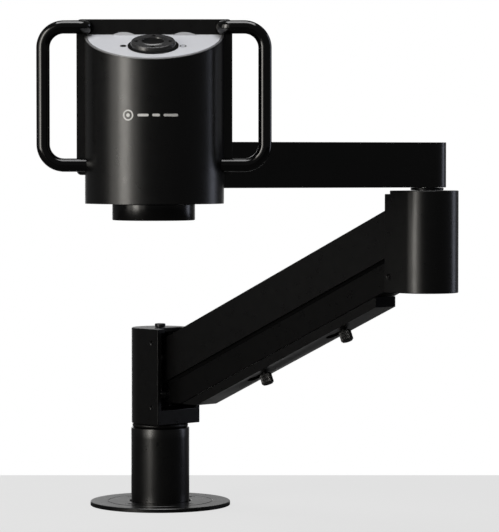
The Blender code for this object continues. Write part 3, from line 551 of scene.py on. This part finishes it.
def make_knuckle():
    low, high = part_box("knuckle_bracket")
    step = KNUCKLE_PIN.z - COLUMN_PIN.z
    pins = [joint_place("arm_lift").z + step, joint_place("lower_link_pivot").z + step]
    bracket = make_bracket("knuckle_block", KNUCKLE, high.z, low.z, KNUCKLE_FRONT,
                           SHAFT_HOLE_R, pins)
    cut(bracket, box("step", KNUCKLE, (KNUCKLE_FRONT - 0.0062, -0.04, high.z - 0.0032),
                     (0.04, 0.04, high.z + 0.01)))
    screw, stands_for = add_grub("knuckle_dowel", KNUCKLE, (0.0203, BRACKET_R, 0.2392), (0, 1, 0),
                                 0.0021, "knuckle_grub_screw", bracket)
    finish(bracket, "knuckle", "black_anodised", ["knuckle_bracket"], 0.0008)
    finish(screw, "knuckle", "dark_steel", [stands_for], 0.0002)
    low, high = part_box("knuckle_washer")
    washer = turned("knuckle_slip_ring", KNUCKLE, [
        (0.0093, high.z), (0.0146, high.z), (0.0150, high.z - 0.0005), (0.0150, low.z + 0.0005),
        (0.0146, low.z), (0.0093, low.z),
    ], closed=True)
    finish(washer, "knuckle", "dark_steel", ["knuckle_washer"])


# ---------------------------------------------------------------- arm
def make_cover():
    left, right, shoulder = COVER_START, COVER_END, COVER_SHOULDER
    roof = SHEET / math.cos(SLOPE)
    cover = side_prism("spring_cover", ARM, [rounded_outline([
        (left, rise(COVER_TOP, left), 0.0015), (left, rise(SEAM, left), 0.006),
        (right, rise(SEAM, right), 0.001), (right, 0.295, 0.001),
        (shoulder, rise(COVER_TOP, shoulder), 0.001),
    ])], 0, 2 * COVER_HALF)
    hollow = side_prism("hollow", ARM, [[
        (0.0, rise(COVER_TOP - roof, 0.0)), (0.0, rise(SEAM - 0.02, 0.0)),
        (0.36, rise(SEAM - 0.02, 0.36)), (0.36, 0.2905), (0.323, rise(COVER_TOP - roof, 0.322)),
    ]], 0, 2 * (COVER_HALF - SHEET))
    pin = COLUMN_PIN.z
    cut(cover, hollow, rod("pin_hole", ARM, (PIN_OFFSET, -0.02, pin), (PIN_OFFSET, 0.02, pin),
                           PIN_HOLE_R))
    finish(cover, "upper_link", "black_anodised", ["arm_cover"], 0.0007)


def screw_foot(t):
    """Foot of a thumbscrew on the tray's underside, and the direction square to the arm."""
    return Vector((t, 0, rise(TRAY_BOTTOM, t))), Vector((-math.sin(SLOPE), 0, math.cos(SLOPE)))


def make_channel():
    left, right, lap = CHANNEL_START, CHANNEL_END, CHANNEL_LAP
    turn_t = (UNDERCUT_Z - CHANNEL_BOTTOM) / math.tan(SLOPE)
    web = SHEET / math.cos(SLOPE)
    channel = side_prism("lower_link_channel", ARM, [[
        (left, rise(SEAM + lap, left)), (left, UNDERCUT_Z), (turn_t, UNDERCUT_Z),
        (right, rise(CHANNEL_BOTTOM, right)), (right, rise(SEAM + lap, right)),
    ]], 0, 2 * CHANNEL_HALF)
    cut(channel, side_prism("hollow", ARM, [[
        (0.0, rise(CHANNEL_BOTTOM + web, 0.0)), (0.36, rise(CHANNEL_BOTTOM + web, 0.36)),
        (0.36, rise(SEAM + 0.04, 0.36)), (0.0, rise(SEAM + 0.04, 0.0)),
    ]], 0, 2 * (CHANNEL_HALF - SHEET)))
    for t in THUMBSCREW_T:
        foot, up = screw_foot(t)
        cut(channel, rod("thread", ARM, foot, foot + up * 0.02, 0.0028, 24))
    finish(channel, "lower_link", "black_channel", ["lower_channel"], 0.0006)
    # Painted shade: a thin near-black strip on each side of the channel, just under the cover's lower edge, stands
    # in for the shadow in the seam's gap.
    for side in (-1, 1):
        seam_shadow = side_prism(f"seam_seal_{'left' if side < 0 else 'right'}", ARM, [[
            (left + 0.001, rise(SEAM - 0.0006, left)), (left + 0.001, rise(SEAM - SEAM_SHADOW_DEPTH, left)),
            (right - 0.001, rise(SEAM - SEAM_SHADOW_DEPTH, right)), (right - 0.001, rise(SEAM - 0.0006, right)),
        ]], side * (CHANNEL_HALF + 0.00015), 0.0003)
        finish(seam_shadow, "lower_link", "ink_and_painted_shade")


def make_tray():
    start, wall = 0.048, 0.0016
    turn_t = (UNDERCUT_Z - TRAY_BOTTOM) / math.tan(SLOPE)
    top = CHANNEL_BOTTOM - 0.0006
    tray = side_prism("cable_channel", ARM, [[
        (start, rise(top, start)), (start, UNDERCUT_Z), (turn_t, UNDERCUT_Z),
        (TRAY_END_T, rise(TRAY_BOTTOM, TRAY_END_T)), (TRAY_END_T, rise(top, TRAY_END_T)),
    ]], 0, 2 * CHANNEL_HALF)
    floor, inner, near = TRAY_BOTTOM + 0.0018, TRAY_END_T - wall, start + 0.006
    cut(tray, side_prism("hollow", ARM, [[
        (near, UNDERCUT_Z + wall), (turn_t + 0.001, UNDERCUT_Z + wall),
        (inner, rise(floor, inner)), (inner, rise(top + 0.005, inner)),
        (near, rise(top + 0.005, near)),
    ]], 0, 2 * (CHANNEL_HALF - wall)))
    along = Vector((math.cos(SLOPE), 0, math.sin(SLOPE)))
    for t in THUMBSCREW_T:
        foot, up = screw_foot(t)
        eye = foot - along * KEYHOLE_REACH
        slope = ARM @ Matrix.Translation(foot) @ Matrix.Rotation(-SLOPE, 4, "Y")
        cut(tray,
            rod("eye", ARM, eye - up * 0.002, eye + up * 0.004, THUMBSCREW_R + 0.0005, 40),
            rod("neck", ARM, foot - up * 0.002, foot + up * 0.004, 0.0032, 32),
            box("slot", slope, (-KEYHOLE_REACH, -0.0029, -0.0021), (0, 0.0029, 0.0041)))
    finish(tray, "tray", "black_anodised", ["cable_tray"], 0.0005)
    # The end face is painted near black, unlike the underside: painted shade standing in for the shade inside the
    # tray's end.
    tray.data.materials.append(MATERIALS["ink_and_painted_shade"])
    heading = ARM.to_3x3() @ Vector((1, 0, 0))
    for polygon in tray.data.polygons:
        if polygon.normal.dot(heading) > 0.95:
            polygon.material_index = 1


def knurled_barrel(name, place, radius, depth, low, high):
    """A barrel whose side is cut by two crossing sets of fine grooves."""
    around, up, starts, twist = 192, 20, 24, 520.0
    bm = bmesh.new()
    rings = []
    for level in range(up + 1):
        z = low + (high - low) * level / up
        ring = []
        for step in range(around):
            angle = 2 * math.pi * step / around
            groove = max(abs(math.cos((starts * angle + twist * 2 * z) / 2)),
                         abs(math.cos((starts * angle - twist * 2 * z) / 2)))
            reach = radius - depth * groove ** 3
            ring.append(bm.verts.new((reach * math.cos(angle), reach * math.sin(angle), z)))
        rings.append(ring)
    for lower, upper in zip(rings, rings[1:]):
        for step in range(around):
            after = (step + 1) % around
            bm.faces.new((lower[step], lower[after], upper[after], upper[step]))
    bm.faces.new(list(reversed(rings[0])))
    bm.faces.new(rings[-1])
    return new_object(name, mesh_of(bm, name), place)


def make_thumbscrew(index, t):
    """A knurled knob hanging square to the arm."""
    foot, _ = screw_foot(t)
    place = ARM @ Matrix.Translation(foot) @ Matrix.Rotation(-SLOPE, 4, "Y")
    knob = knurled_barrel(f"clamp_knob_{index}", place, THUMBSCREW_R, 0.0006, -0.0107, -0.0019)
    shoulder = turned("shoulder", place, [
        (0, 0.0150), (0.0025, 0.0150), (0.0025, -0.0003), (0.0036, -0.0003), (0.0036, -0.0010),
        (0.0050, -0.0012), (0.0054, -0.0021), (0.0054, -0.0105), (0.0048, -0.0116),
        (0.0030, -0.0117), (0.0026, -0.0112), (0, -0.0112),
    ], steps=48)
    fuse(knob, shoulder)
    finish(knob, f"clamp_screw_{index}", "knob_metal", [f"thumbscrew_{index}"], angle=40)


# ---------------------------------------------------------------- beam
def make_beam():
    low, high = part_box("beam_tube")
    outline = (arc((0, 0), BEAM_HALF, 90, 270, 48)
               + arc((BEAM_LENGTH, 0), BEAM_HALF, -90, 90, 48))
    beam = plan_prism("beam_profile", BEAM, [outline], low.z, high.z)
    duct_start, duct_end, duct_half = 0.024, BEAM_LENGTH - 0.024, 0.0125
    cut(beam,
        box("duct", BEAM, (duct_start, -duct_half, low.z - 0.001),
            (duct_end, duct_half, high.z - 0.003)),
        rod("bore", BEAM, (0, 0, low.z - 0.001), (0, 0, low.z + 0.0298), SHAFT_HOLE_R),
        rod("bore", BEAM, (BEAM_LENGTH, 0, high.z - 0.019), (BEAM_LENGTH, 0, high.z + 0.001),
            SHAFT_HOLE_R))
    finish(beam, "beam", "black_anodised", ["beam_tube"], 0.0007)
    strip = box("duct_strip", BEAM, (duct_start + 0.0003, -duct_half + 0.0003, low.z + 0.0002),
                (duct_end - 0.0003, duct_half - 0.0003, low.z + 0.0020))
    finish(strip, "beam", "black_plastic", ["beam_duct_cover"], 0.0003)


# ---------------------------------------------------------------- carrier behind the head
def make_carrier():
    low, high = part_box("pan_block")
    block = turned("pan_post", HEAD, [
        (0, high.z), (0.0166, high.z), (0.0176, high.z - 0.0004), (0.0180, high.z - 0.0014),
        (0.0180, low.z + 0.0016), (0.0166, low.z), (0, low.z),
    ])
    cut(block,
        rod("tilt_bore", HEAD, (-0.03, 0, TILT_Z), (0.03, 0, TILT_Z), TILT_HOLE_R),
        rod("pan_bore", HEAD, (0, 0, low.z - 0.001), (0, 0, low.z + 0.0083), SHAFT_HOLE_R))
    finish(block, "carrier", "black_anodised", ["pan_block"], 0.0003)
    shaft = rod("tilt_axle", HEAD, (-0.033, 0, TILT_Z), (0.033, 0, TILT_Z), TILT_AXLE_R)
    cut(shaft, hex_socket("socket", HEAD, (0.033, 0, TILT_Z), (1, 0, 0), 0.005, 0.003),
        hex_socket("socket", HEAD, (-0.033, 0, TILT_Z), (-1, 0, 0), 0.005, 0.003))
    finish(shaft, "carrier", "steel", ["tilt_shaft"], 0.0006)


def make_rear():
    rear = PLATE_FRONT + PLATE_THICK
    low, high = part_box("rear_housing")
    housing = side_prism("rear_case", HEAD, [rounded_outline([
        (-0.045, low.z, 0.006), (0.045, low.z, 0.006), (0.045, high.z, 0.006),
        (-0.045, high.z, 0.006),
    ])], rear + 0.0003 + 0.00885, 0.0177)
    for x in (-CASE_SCREW_X, CASE_SCREW_X):
        for z in (low.z + 0.008, high.z - 0.008):
            face = rear + REAR_DEPTH
            cut(housing, rod("sink", HEAD, (x, face - 0.0025, z), (x, face + 0.001, z), 0.0034, 32))
    for index in range(9):
        x = -0.024 + 0.006 * index
        cut(housing, box("vent", HEAD, (x - 0.0012, rear + 0.0155, high.z - 0.017),
                         (x + 0.0012, rear + 0.019, high.z - 0.004)))
    finish(housing, "head", "black_anodised", ["rear_housing"], 0.0010)
    count = 0
    for x in (-CASE_SCREW_X, CASE_SCREW_X):
        for z in (low.z + 0.008, high.z - 0.008):
            count += 1
            face = rear + REAR_DEPTH
            screw = rod(f"case_screw_{count}", HEAD, (x, face - 0.0023, z), (x, face - 0.0004, z),
                        0.0031, 32)
            cut(screw, hex_socket("socket", HEAD, (x, face - 0.0004, z), (0, 1, 0), 0.0025, 0.0012))
            finish(screw, "head", "dark_steel", (), 0.0004)
    base = rear + REAR_DEPTH + GAP
    yoke = box("tilt_bracket", HEAD, (-TILT_PLATE_HALF, base, 0.388),
               (TILT_PLATE_HALF, base + 0.006, 0.422))
    outline = [(base + 0.001, TILT_Z - TILT_LUG_R)] + arc((0, TILT_Z), TILT_LUG_R, -90, 90, 40)
    outline.append((base + 0.001, TILT_Z + TILT_LUG_R))
    hole = arc((0, TILT_Z), TILT_HOLE_R, 0, 355, 71)
    for side in (-1, 1):
        fuse(yoke, end_prism("lug", HEAD, [outline, hole], side * TILT_LUG_X, 0.006))
    finish(yoke, "head", "black_anodised", ["tilt_yoke"], 0.0006)


# ---------------------------------------------------------------- head
def panel_slab(offset, above):
    """A cutter with one face parallel to the control panel, `offset` over the panel's surface."""
    low, high = (offset, offset + 0.2) if above else (offset - 0.2, offset)
    place = (HEAD @ Matrix.Translation((0, PLATE_FRONT, PANEL_REAR_Z))
             @ Matrix.Rotation(PANEL_TILT, 4, "X"))
    return box("slab", place, (-0.2, -0.2, low), (0.2, 0.2, high))


def half_disc(radius, gap, steps=120):
    """Plan outline of a half disc in front of the back plate."""
    lean = math.degrees(math.asin(gap / radius))
    return arc((0, PLATE_FRONT), radius, 180 + lean, 360 - lean, steps)


def make_shell():
    low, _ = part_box("body_shell")
    outline = half_disc(BODY_R, GAP) + half_disc(BODY_R - BODY_WALL, GAP)[::-1]
    shell = plan_prism("camera_shell", HEAD, [outline], low.z, 0.470)
    rebate = plan_prism("rebate", HEAD, [half_disc(BODY_R - RIM, -0.001)], *PANEL_ZONE)
    cut(rebate, panel_slab(-PANEL_THICK - GAP, False))
    cut(shell, panel_slab(-EDGE_THICK, True), rebate)
    for side in (-1, 1):
        y = PLATE_FRONT - HANDLE_REACH
        cut(shell, rod("bore", HEAD, (side * 0.050, y, HANDLE_Z[0]), (side * 0.070, y, HANDLE_Z[0]),
                       HANDLE_R + GAP))
    finish(shell, "head", "black_anodised", ["body_shell"], 0.0007)
    # Painted highlight: the shell's rim top is a separate strip in a lighter grey than the shell, standing in for
    # the light the rim catches.
    strip = plan_prism("shell_edge_highlight", HEAD, [half_disc(BODY_R, GAP)
                                            + half_disc(BODY_R - RIM, GAP)[::-1]], *PANEL_ZONE)
    cut(strip, panel_slab(0.0, True), panel_slab(-EDGE_THICK, False))
    finish(strip, "head", "painted_edge_highlight", edge=0.0004)


def make_panel():
    panel = plan_prism("control_panel", HEAD, [half_disc(BODY_R - RIM - GAP, GAP)], *PANEL_ZONE)
    cut(panel, panel_slab(0.0, True), panel_slab(-PANEL_THICK, False))
    tab_r, tab_rise, tab_half = 0.0213, 0.0019, 0.026
    centre = PANEL_REAR_Z + tab_rise - tab_r
    spread_angle = math.degrees(math.acos((tab_r - tab_rise - 0.001) / tab_r))
    for side in (-1, 1):
        outline = arc((side * tab_half, centre), tab_r, 90 - spread_angle, 90 + spread_angle, 32)
        fuse(panel, side_prism("tab", HEAD, [outline], PLATE_FRONT - GAP - 0.001, 0.002))
    cut(panel, rod("hole", CONTROL, (0, 0, -0.01), (0, 0, 0.01), 0.007))
    finish(panel, "head", "silver_panel", ["top_panel"], 0.0003)
    mark = rod("mark_filled", CONTROL, (-DIAL_MARK_REACH, 0, 0.00005),
               (-DIAL_MARK_REACH, 0, 0.00012), 0.0029, 40)
    finish(mark, "head", "ink_and_painted_shade")
    ring = plan_prism("mark_open", CONTROL, [arc((DIAL_MARK_REACH, 0), 0.0030, 0, 350, 35),
                                             arc((DIAL_MARK_REACH, 0), 0.0021, 0, 350, 35)],
                      0.00005, 0.00012)
    finish(ring, "head", "ink_and_painted_shade")


def make_plate():
    low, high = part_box("back_plate")
    shoulder, narrow = 0.332, BODY_R
    outline = rounded_outline([
        (PLATE_HALF, shoulder, 0.004), (PLATE_HALF, high.z, 0.004),
        (-PLATE_HALF, high.z, 0.004), (-PLATE_HALF, shoulder, 0.004),
    ])
    plate = side_prism("carrier_plate", HEAD, [outline], PLATE_FRONT + PLATE_THICK / 2, PLATE_THICK)
    inset = 0.0002
    tongue = box("tongue", HEAD, (-narrow, PLATE_FRONT + inset, low.z),
                 (narrow, PLATE_FRONT + PLATE_THICK - inset, shoulder + 0.010))
    for side in (-1, 1):
        cut(plate, rod("bore", HEAD, (side * HANDLE_ROOT_X, PLATE_FRONT - 0.001, HANDLE_Z[1]),
                       (side * HANDLE_ROOT_X, PLATE_FRONT + 0.0055, HANDLE_Z[1]), HANDLE_R + GAP))
    fuse(plate, tongue)
    finish(plate, "head", "black_anodised", ["back_plate"], 0.0008)


def make_handle(label, side):
    """Upper end turned back into the plate, a D-shaped grip, lower end in the shell's side."""
    front, low, high = PLATE_FRONT - HANDLE_REACH, *HANDLE_Z
    bend = HANDLE_ROOT_BEND
    points = [(HANDLE_ROOT_X, PLATE_FRONT + 0.0052, high)]
    for x, y in arc((HANDLE_ROOT_X + bend, front + bend), bend, 180, 270, 20):
        points.append((x, y, high))
    for x, z in arc((HANDLE_HALF - HANDLE_BEND, high - HANDLE_BEND), HANDLE_BEND, 90, 0, 28):
        points.append((x, front, z))
    for x, z in arc((HANDLE_HALF - HANDLE_BEND, low + HANDLE_BEND), HANDLE_BEND, 0, -90, 28):
        points.append((x, front, z))
    points.append((HANDLE_FOOT_X, front, low))
    handle = tube(f"grip_{label}", HEAD, [(side * x, y, z) for x, y, z in points], HANDLE_R)
    finish(handle, "head", "handle_tube", [f"handle_{label}"], angle=60)


def make_optics():
    lens = (0, PLATE_FRONT - LENS_DEPTH)
    low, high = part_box("ring_light_housing")
    housing = turned("light_ring_case", HEAD, [
        (LIGHT_OPENING_R, high.z), (LIGHT_R - 0.0004, high.z), (LIGHT_R, high.z - 0.0004),
        (LIGHT_R, low.z + 0.0008), (LIGHT_R - 0.0003, low.z + 0.0002), (LIGHT_R - 0.0008, low.z),
        (LIGHT_WINDOW_R, low.z), (LIGHT_WINDOW_R, low.z + 0.004), (0.0238, low.z + 0.004),
        (0.0238, low.z), (LIGHT_OPENING_R, low.z),
    ], lens, 128, True)
    finish(housing, "head", "black_gloss", ["ring_light_housing"])
    ring = turned("light_window", HEAD, [
        (0.0242, low.z + 0.0026), (0.0331, low.z + 0.0026), (0.0331, low.z + 0.0012),
        (0.0325, low.z + 0.0008), (0.0248, low.z + 0.0008), (0.0242, low.z + 0.0012),
    ], lens, 96, True)
    finish(ring, "head", "diffuser", ["light_diffuser"])
    barrel = turned("lens_tube", HEAD, [
        (0.0173, LENS_TOP), (LENS_BARREL_R, LENS_TOP), (LENS_BARREL_R, low.z + 0.0020),
        (LENS_BARREL_R - 0.0005, low.z + 0.0015),
        (0.0193, low.z + 0.0015), (0.0190, low.z + 0.0030), (0.0186, low.z + 0.0030),
        (0.0183, low.z + 0.0042), (0.0173, low.z + 0.0044),
    ], lens, 96, True)
    finish(barrel, "head", "black_plastic", ["lens_barrel"])
    bulge = [(LENS_GLASS_R * math.sin(a), low.z + 0.0052 - 0.0022 * math.cos(a))
             for a in (math.pi / 2 * step / 12 for step in range(12, -1, -1))]
    glass = turned("front_element", HEAD, [(0, low.z + 0.0090), (LENS_GLASS_R, low.z + 0.0075)]
                   + bulge, lens, 96)
    finish(glass, "head", "lens_glass", ["front_lens"])


def make_control():
    flange = turned("dial_flange", CONTROL, [
        (0.0170, 0.0013), (0.0195, 0.0013), (0.0211, 0.0010), (RING_R, 0.0007), (RING_R, 0.0003),
        (0.0170, 0.0003),
    ], closed=True)
    finish(flange, "ring", "ink_and_painted_shade")
    ring = turned("dial_ring", CONTROL, [
        (DIAL_BORE_R, 0.0036), (0.0094, 0.0046), (0.0099, 0.0050), (0.0106, 0.0048), (0.0115, 0.0043),
        (0.0150, 0.0043), (0.0176, 0.0046), (0.0182, 0.0045), (0.0185, 0.0042), (0.0191, 0.0024),
        (0.0193, 0.0012), (0.0193, 0.0004), (DIAL_BORE_R, 0.0004),
    ], closed=True)
    finish(ring, "ring", "ring_gloss", ["control_ring"], angle=50)
    for index in range(4):
        turn = CONTROL @ Matrix.Rotation(math.pi / 2 * index, 4, "Z")
        outline = [(-0.0020, 0.0132), (0.0020, 0.0132), (0, 0.0164)]
        mark = plan_prism(f"dial_arrow_{index + 1}", turn, [outline], 0.0042, 0.0047)
        finish(mark, "ring", "ink_and_painted_shade")
    dome = [(DIAL_BUTTON_R * math.cos(a), 0.0037 + 0.0010 * math.sin(a))
            for a in (math.pi / 2 * step / 12 for step in range(12, -1, -1))]
    button = turned("dial_button", CONTROL, dome + [
        (DIAL_BUTTON_R, 0.0026), (0.0050, 0.0024), (0.0050, -0.0060), (0, -0.0060),
    ])
    finish(button, "button", "ink_and_painted_shade", ["centre_button"], angle=50)


def make_front_mark():
    """A plain printed mark on the shell's front: a lens sign and a short row of bars."""
    z = 0.3823
    pieces = [("mark_lens", arc((0, 0), 0.0046, 0, 352, 44), arc((0, 0), 0.0034, 0, 352, 44)),
              ("mark_pupil", arc((0, 0), 0.0016, 0, 345, 23), None)]
    spots = [-0.0205, -0.0205]
    for index, width in enumerate((0.0095, 0.0065, 0.0125)):
        pieces.append((f"mark_bar_{index + 1}", rounded_outline([
            (-width / 2, -0.0011, 0.0010), (width / 2, -0.0011, 0.0010),
            (width / 2, 0.0011, 0.0010), (-width / 2, 0.0011, 0.0010)], 5), None))
        spots.append((-0.0075, 0.0035, 0.0160)[index])
    for (name, loop, hole), across in zip(pieces, spots):
        loops = [loop] if hole is None else [loop, hole]
        mesh = slab_mesh(name, loops, 0.0002)
        bm = bmesh.new()
        bm.from_mesh(mesh)
        bmesh.ops.triangulate(bm, faces=bm.faces)
        bmesh.ops.subdivide_edges(bm, edges=bm.edges, cuts=1)
        for vert in bm.verts:
            turn = (vert.co.x + across) / BODY_R
            reach = BODY_R + 0.00003 + (0.00010 if vert.co.z > 0 else 0.0)
            vert.co = Vector((math.sin(turn) * reach, PLATE_FRONT - math.cos(turn) * reach,
                              z + vert.co.y))
        bm.to_mesh(mesh)
        bm.free()
        finish(new_object(name, mesh, HEAD), "head", "white_ink")


def dress_frame_nodes():
    """The CAD nodes that keep showing get the finish of their slot."""
    slots = {entry["node"]: entry["material_slot"] for entry in frame["record"]["subparts"]}
    for name, obj in NODES.items():
        obj.data.materials.clear()
        obj.data.materials.append(MATERIALS[slots[name]])


# ---------------------------------------------------------------- camera, light and floor
def make_camera():
    data = bpy.data.cameras.new("camera")
    data.lens = 186.1
    data.sensor_width = 36.0
    data.clip_end = 50.0
    camera = bpy.data.objects.new("camera", data)
    camera.location = (0.0895, -2.750, 0.3423)
    camera.rotation_euler = (math.radians(90 - 2.145), 0, 0)
    bpy.context.scene.collection.objects.link(camera)
    bpy.context.scene.camera = camera


def area_light(name, azimuth, elevation, distance, width, height, power, color):
    """A soft light that looks at the object. Azimuth 0 is at the camera, 90 to its right."""
    target = Vector((0.10, -0.22, 0.26))
    a, e = math.radians(azimuth), math.radians(elevation)
    way = Vector((math.sin(a) * math.cos(e), -math.cos(a) * math.cos(e), math.sin(e)))
    data = bpy.data.lights.new(name, "AREA")
    data.shape = "RECTANGLE"
    data.size, data.size_y = width, height
    data.energy = power
    data.color = color
    obj = bpy.data.objects.new(name, data)
    obj.location = target + way * distance
    obj.rotation_euler = (-way).to_track_quat("-Z", "Y").to_euler()
    obj.visible_camera = False
    bpy.context.scene.collection.objects.link(obj)


def make_world():
    """White to the camera. Reflections see a dim room with a pale backdrop behind the object."""
    world = bpy.data.worlds.new("studio")
    bpy.context.scene.world = world
    world.use_nodes = True
    tree = world.node_tree
    back = tree.nodes["Background"]
    back.inputs["Color"].default_value = (1, 1, 1, 1)
    way = node(tree, "ShaderNodeTexCoord").outputs["Generated"]
    split = node(tree, "ShaderNodeSeparateXYZ")
    tree.links.new(way, split.inputs["Vector"])
    tree.links.new(spread(tree, split.outputs["Y"], 0.085, 0.60, 0.88, 0.98),
                   back.inputs["Strength"])
    bright = node(tree, "ShaderNodeBackground")
    bright.inputs["Color"].default_value = (1, 1, 1, 1)
    bright.inputs["Strength"].default_value = 1.0
    mix = node(tree, "ShaderNodeMixShader")
    path = node(tree, "ShaderNodeLightPath")
    tree.links.new(path.outputs["Is Camera Ray"], mix.inputs["Fac"])
    tree.links.new(back.outputs["Background"], mix.inputs[1])
    tree.links.new(bright.outputs["Background"], mix.inputs[2])
    tree.links.new(mix.outputs["Shader"], tree.nodes["World Output"].inputs["Surface"])


def make_floor():
    """A plain pale desk top that ends a little behind the object."""
    floor = box("floor", BASE, (-3.0, -3.2, -0.020), (3.0, 0.257, 0.0))
    material = bpy.data.materials.new("floor_pale")
    material.use_nodes = True
    tree = material.node_tree
    shader = tree.nodes["Principled BSDF"]
    shader.inputs["Base Color"].default_value = (0.05, 0.05, 0.05, 1)
    shader.inputs["Roughness"].default_value = 0.9
    shader.inputs["Specular IOR Level"].default_value = 0.1
    glow = node(tree, "ShaderNodeEmission")
    glow.inputs["Color"].default_value = (1, 1, 1, 1)
    glow.inputs["Strength"].default_value = 0.705
    both = node(tree, "ShaderNodeAddShader")
    mix = node(tree, "ShaderNodeMixShader")
    path = node(tree, "ShaderNodeLightPath")
    tree.links.new(shader.outputs["BSDF"], both.inputs[0])
    tree.links.new(glow.outputs["Emission"], both.inputs[1])
    tree.links.new(path.outputs["Is Camera Ray"], mix.inputs["Fac"])
    tree.links.new(shader.outputs["BSDF"], mix.inputs[1])
    tree.links.new(both.outputs["Shader"], mix.inputs[2])
    tree.links.new(mix.outputs["Shader"], tree.nodes["Material Output"].inputs["Surface"])
    floor.data.materials.append(material)


def make_studio():
    make_camera()
    make_world()
    make_floor()
    area_light("key", -46.5, 10, 2.2, 0.60, 2.4, 37, (1.0, 0.965, 0.90))
    area_light("key_near", -31, 10, 2.2, 0.60, 2.4, 4, (1.0, 0.965, 0.90))
    area_light("key_far", -65, 10, 2.2, 0.50, 2.4, 7, (1.0, 0.965, 0.90))
    area_light("edge", -166, 8, 2.2, 0.40, 2.0, 3, (1.0, 1.0, 1.0))
    area_light("rim", 110, 10, 2.2, 0.60, 2.0, 6, (0.80, 0.84, 1.0))
    area_light("top", 0, 84, 2.0, 1.6, 1.2, 34, (1.0, 1.0, 1.0))
    bpy.context.scene.view_settings.view_transform = "Standard"


def make_all():
    dress_frame_nodes()
    make_base()
    make_column()
    make_turret()
    make_knuckle()
    make_cover()
    make_channel()
    make_tray()
    for index, t in enumerate(THUMBSCREW_T):
        make_thumbscrew(index + 1, t)
    make_beam()
    make_carrier()
    make_rear()
    make_shell()
    make_panel()
    make_plate()
    make_handle("left", -1)
    make_handle("right", 1)
    make_optics()
    make_control()
    make_front_mark()
    make_studio()


make_all()
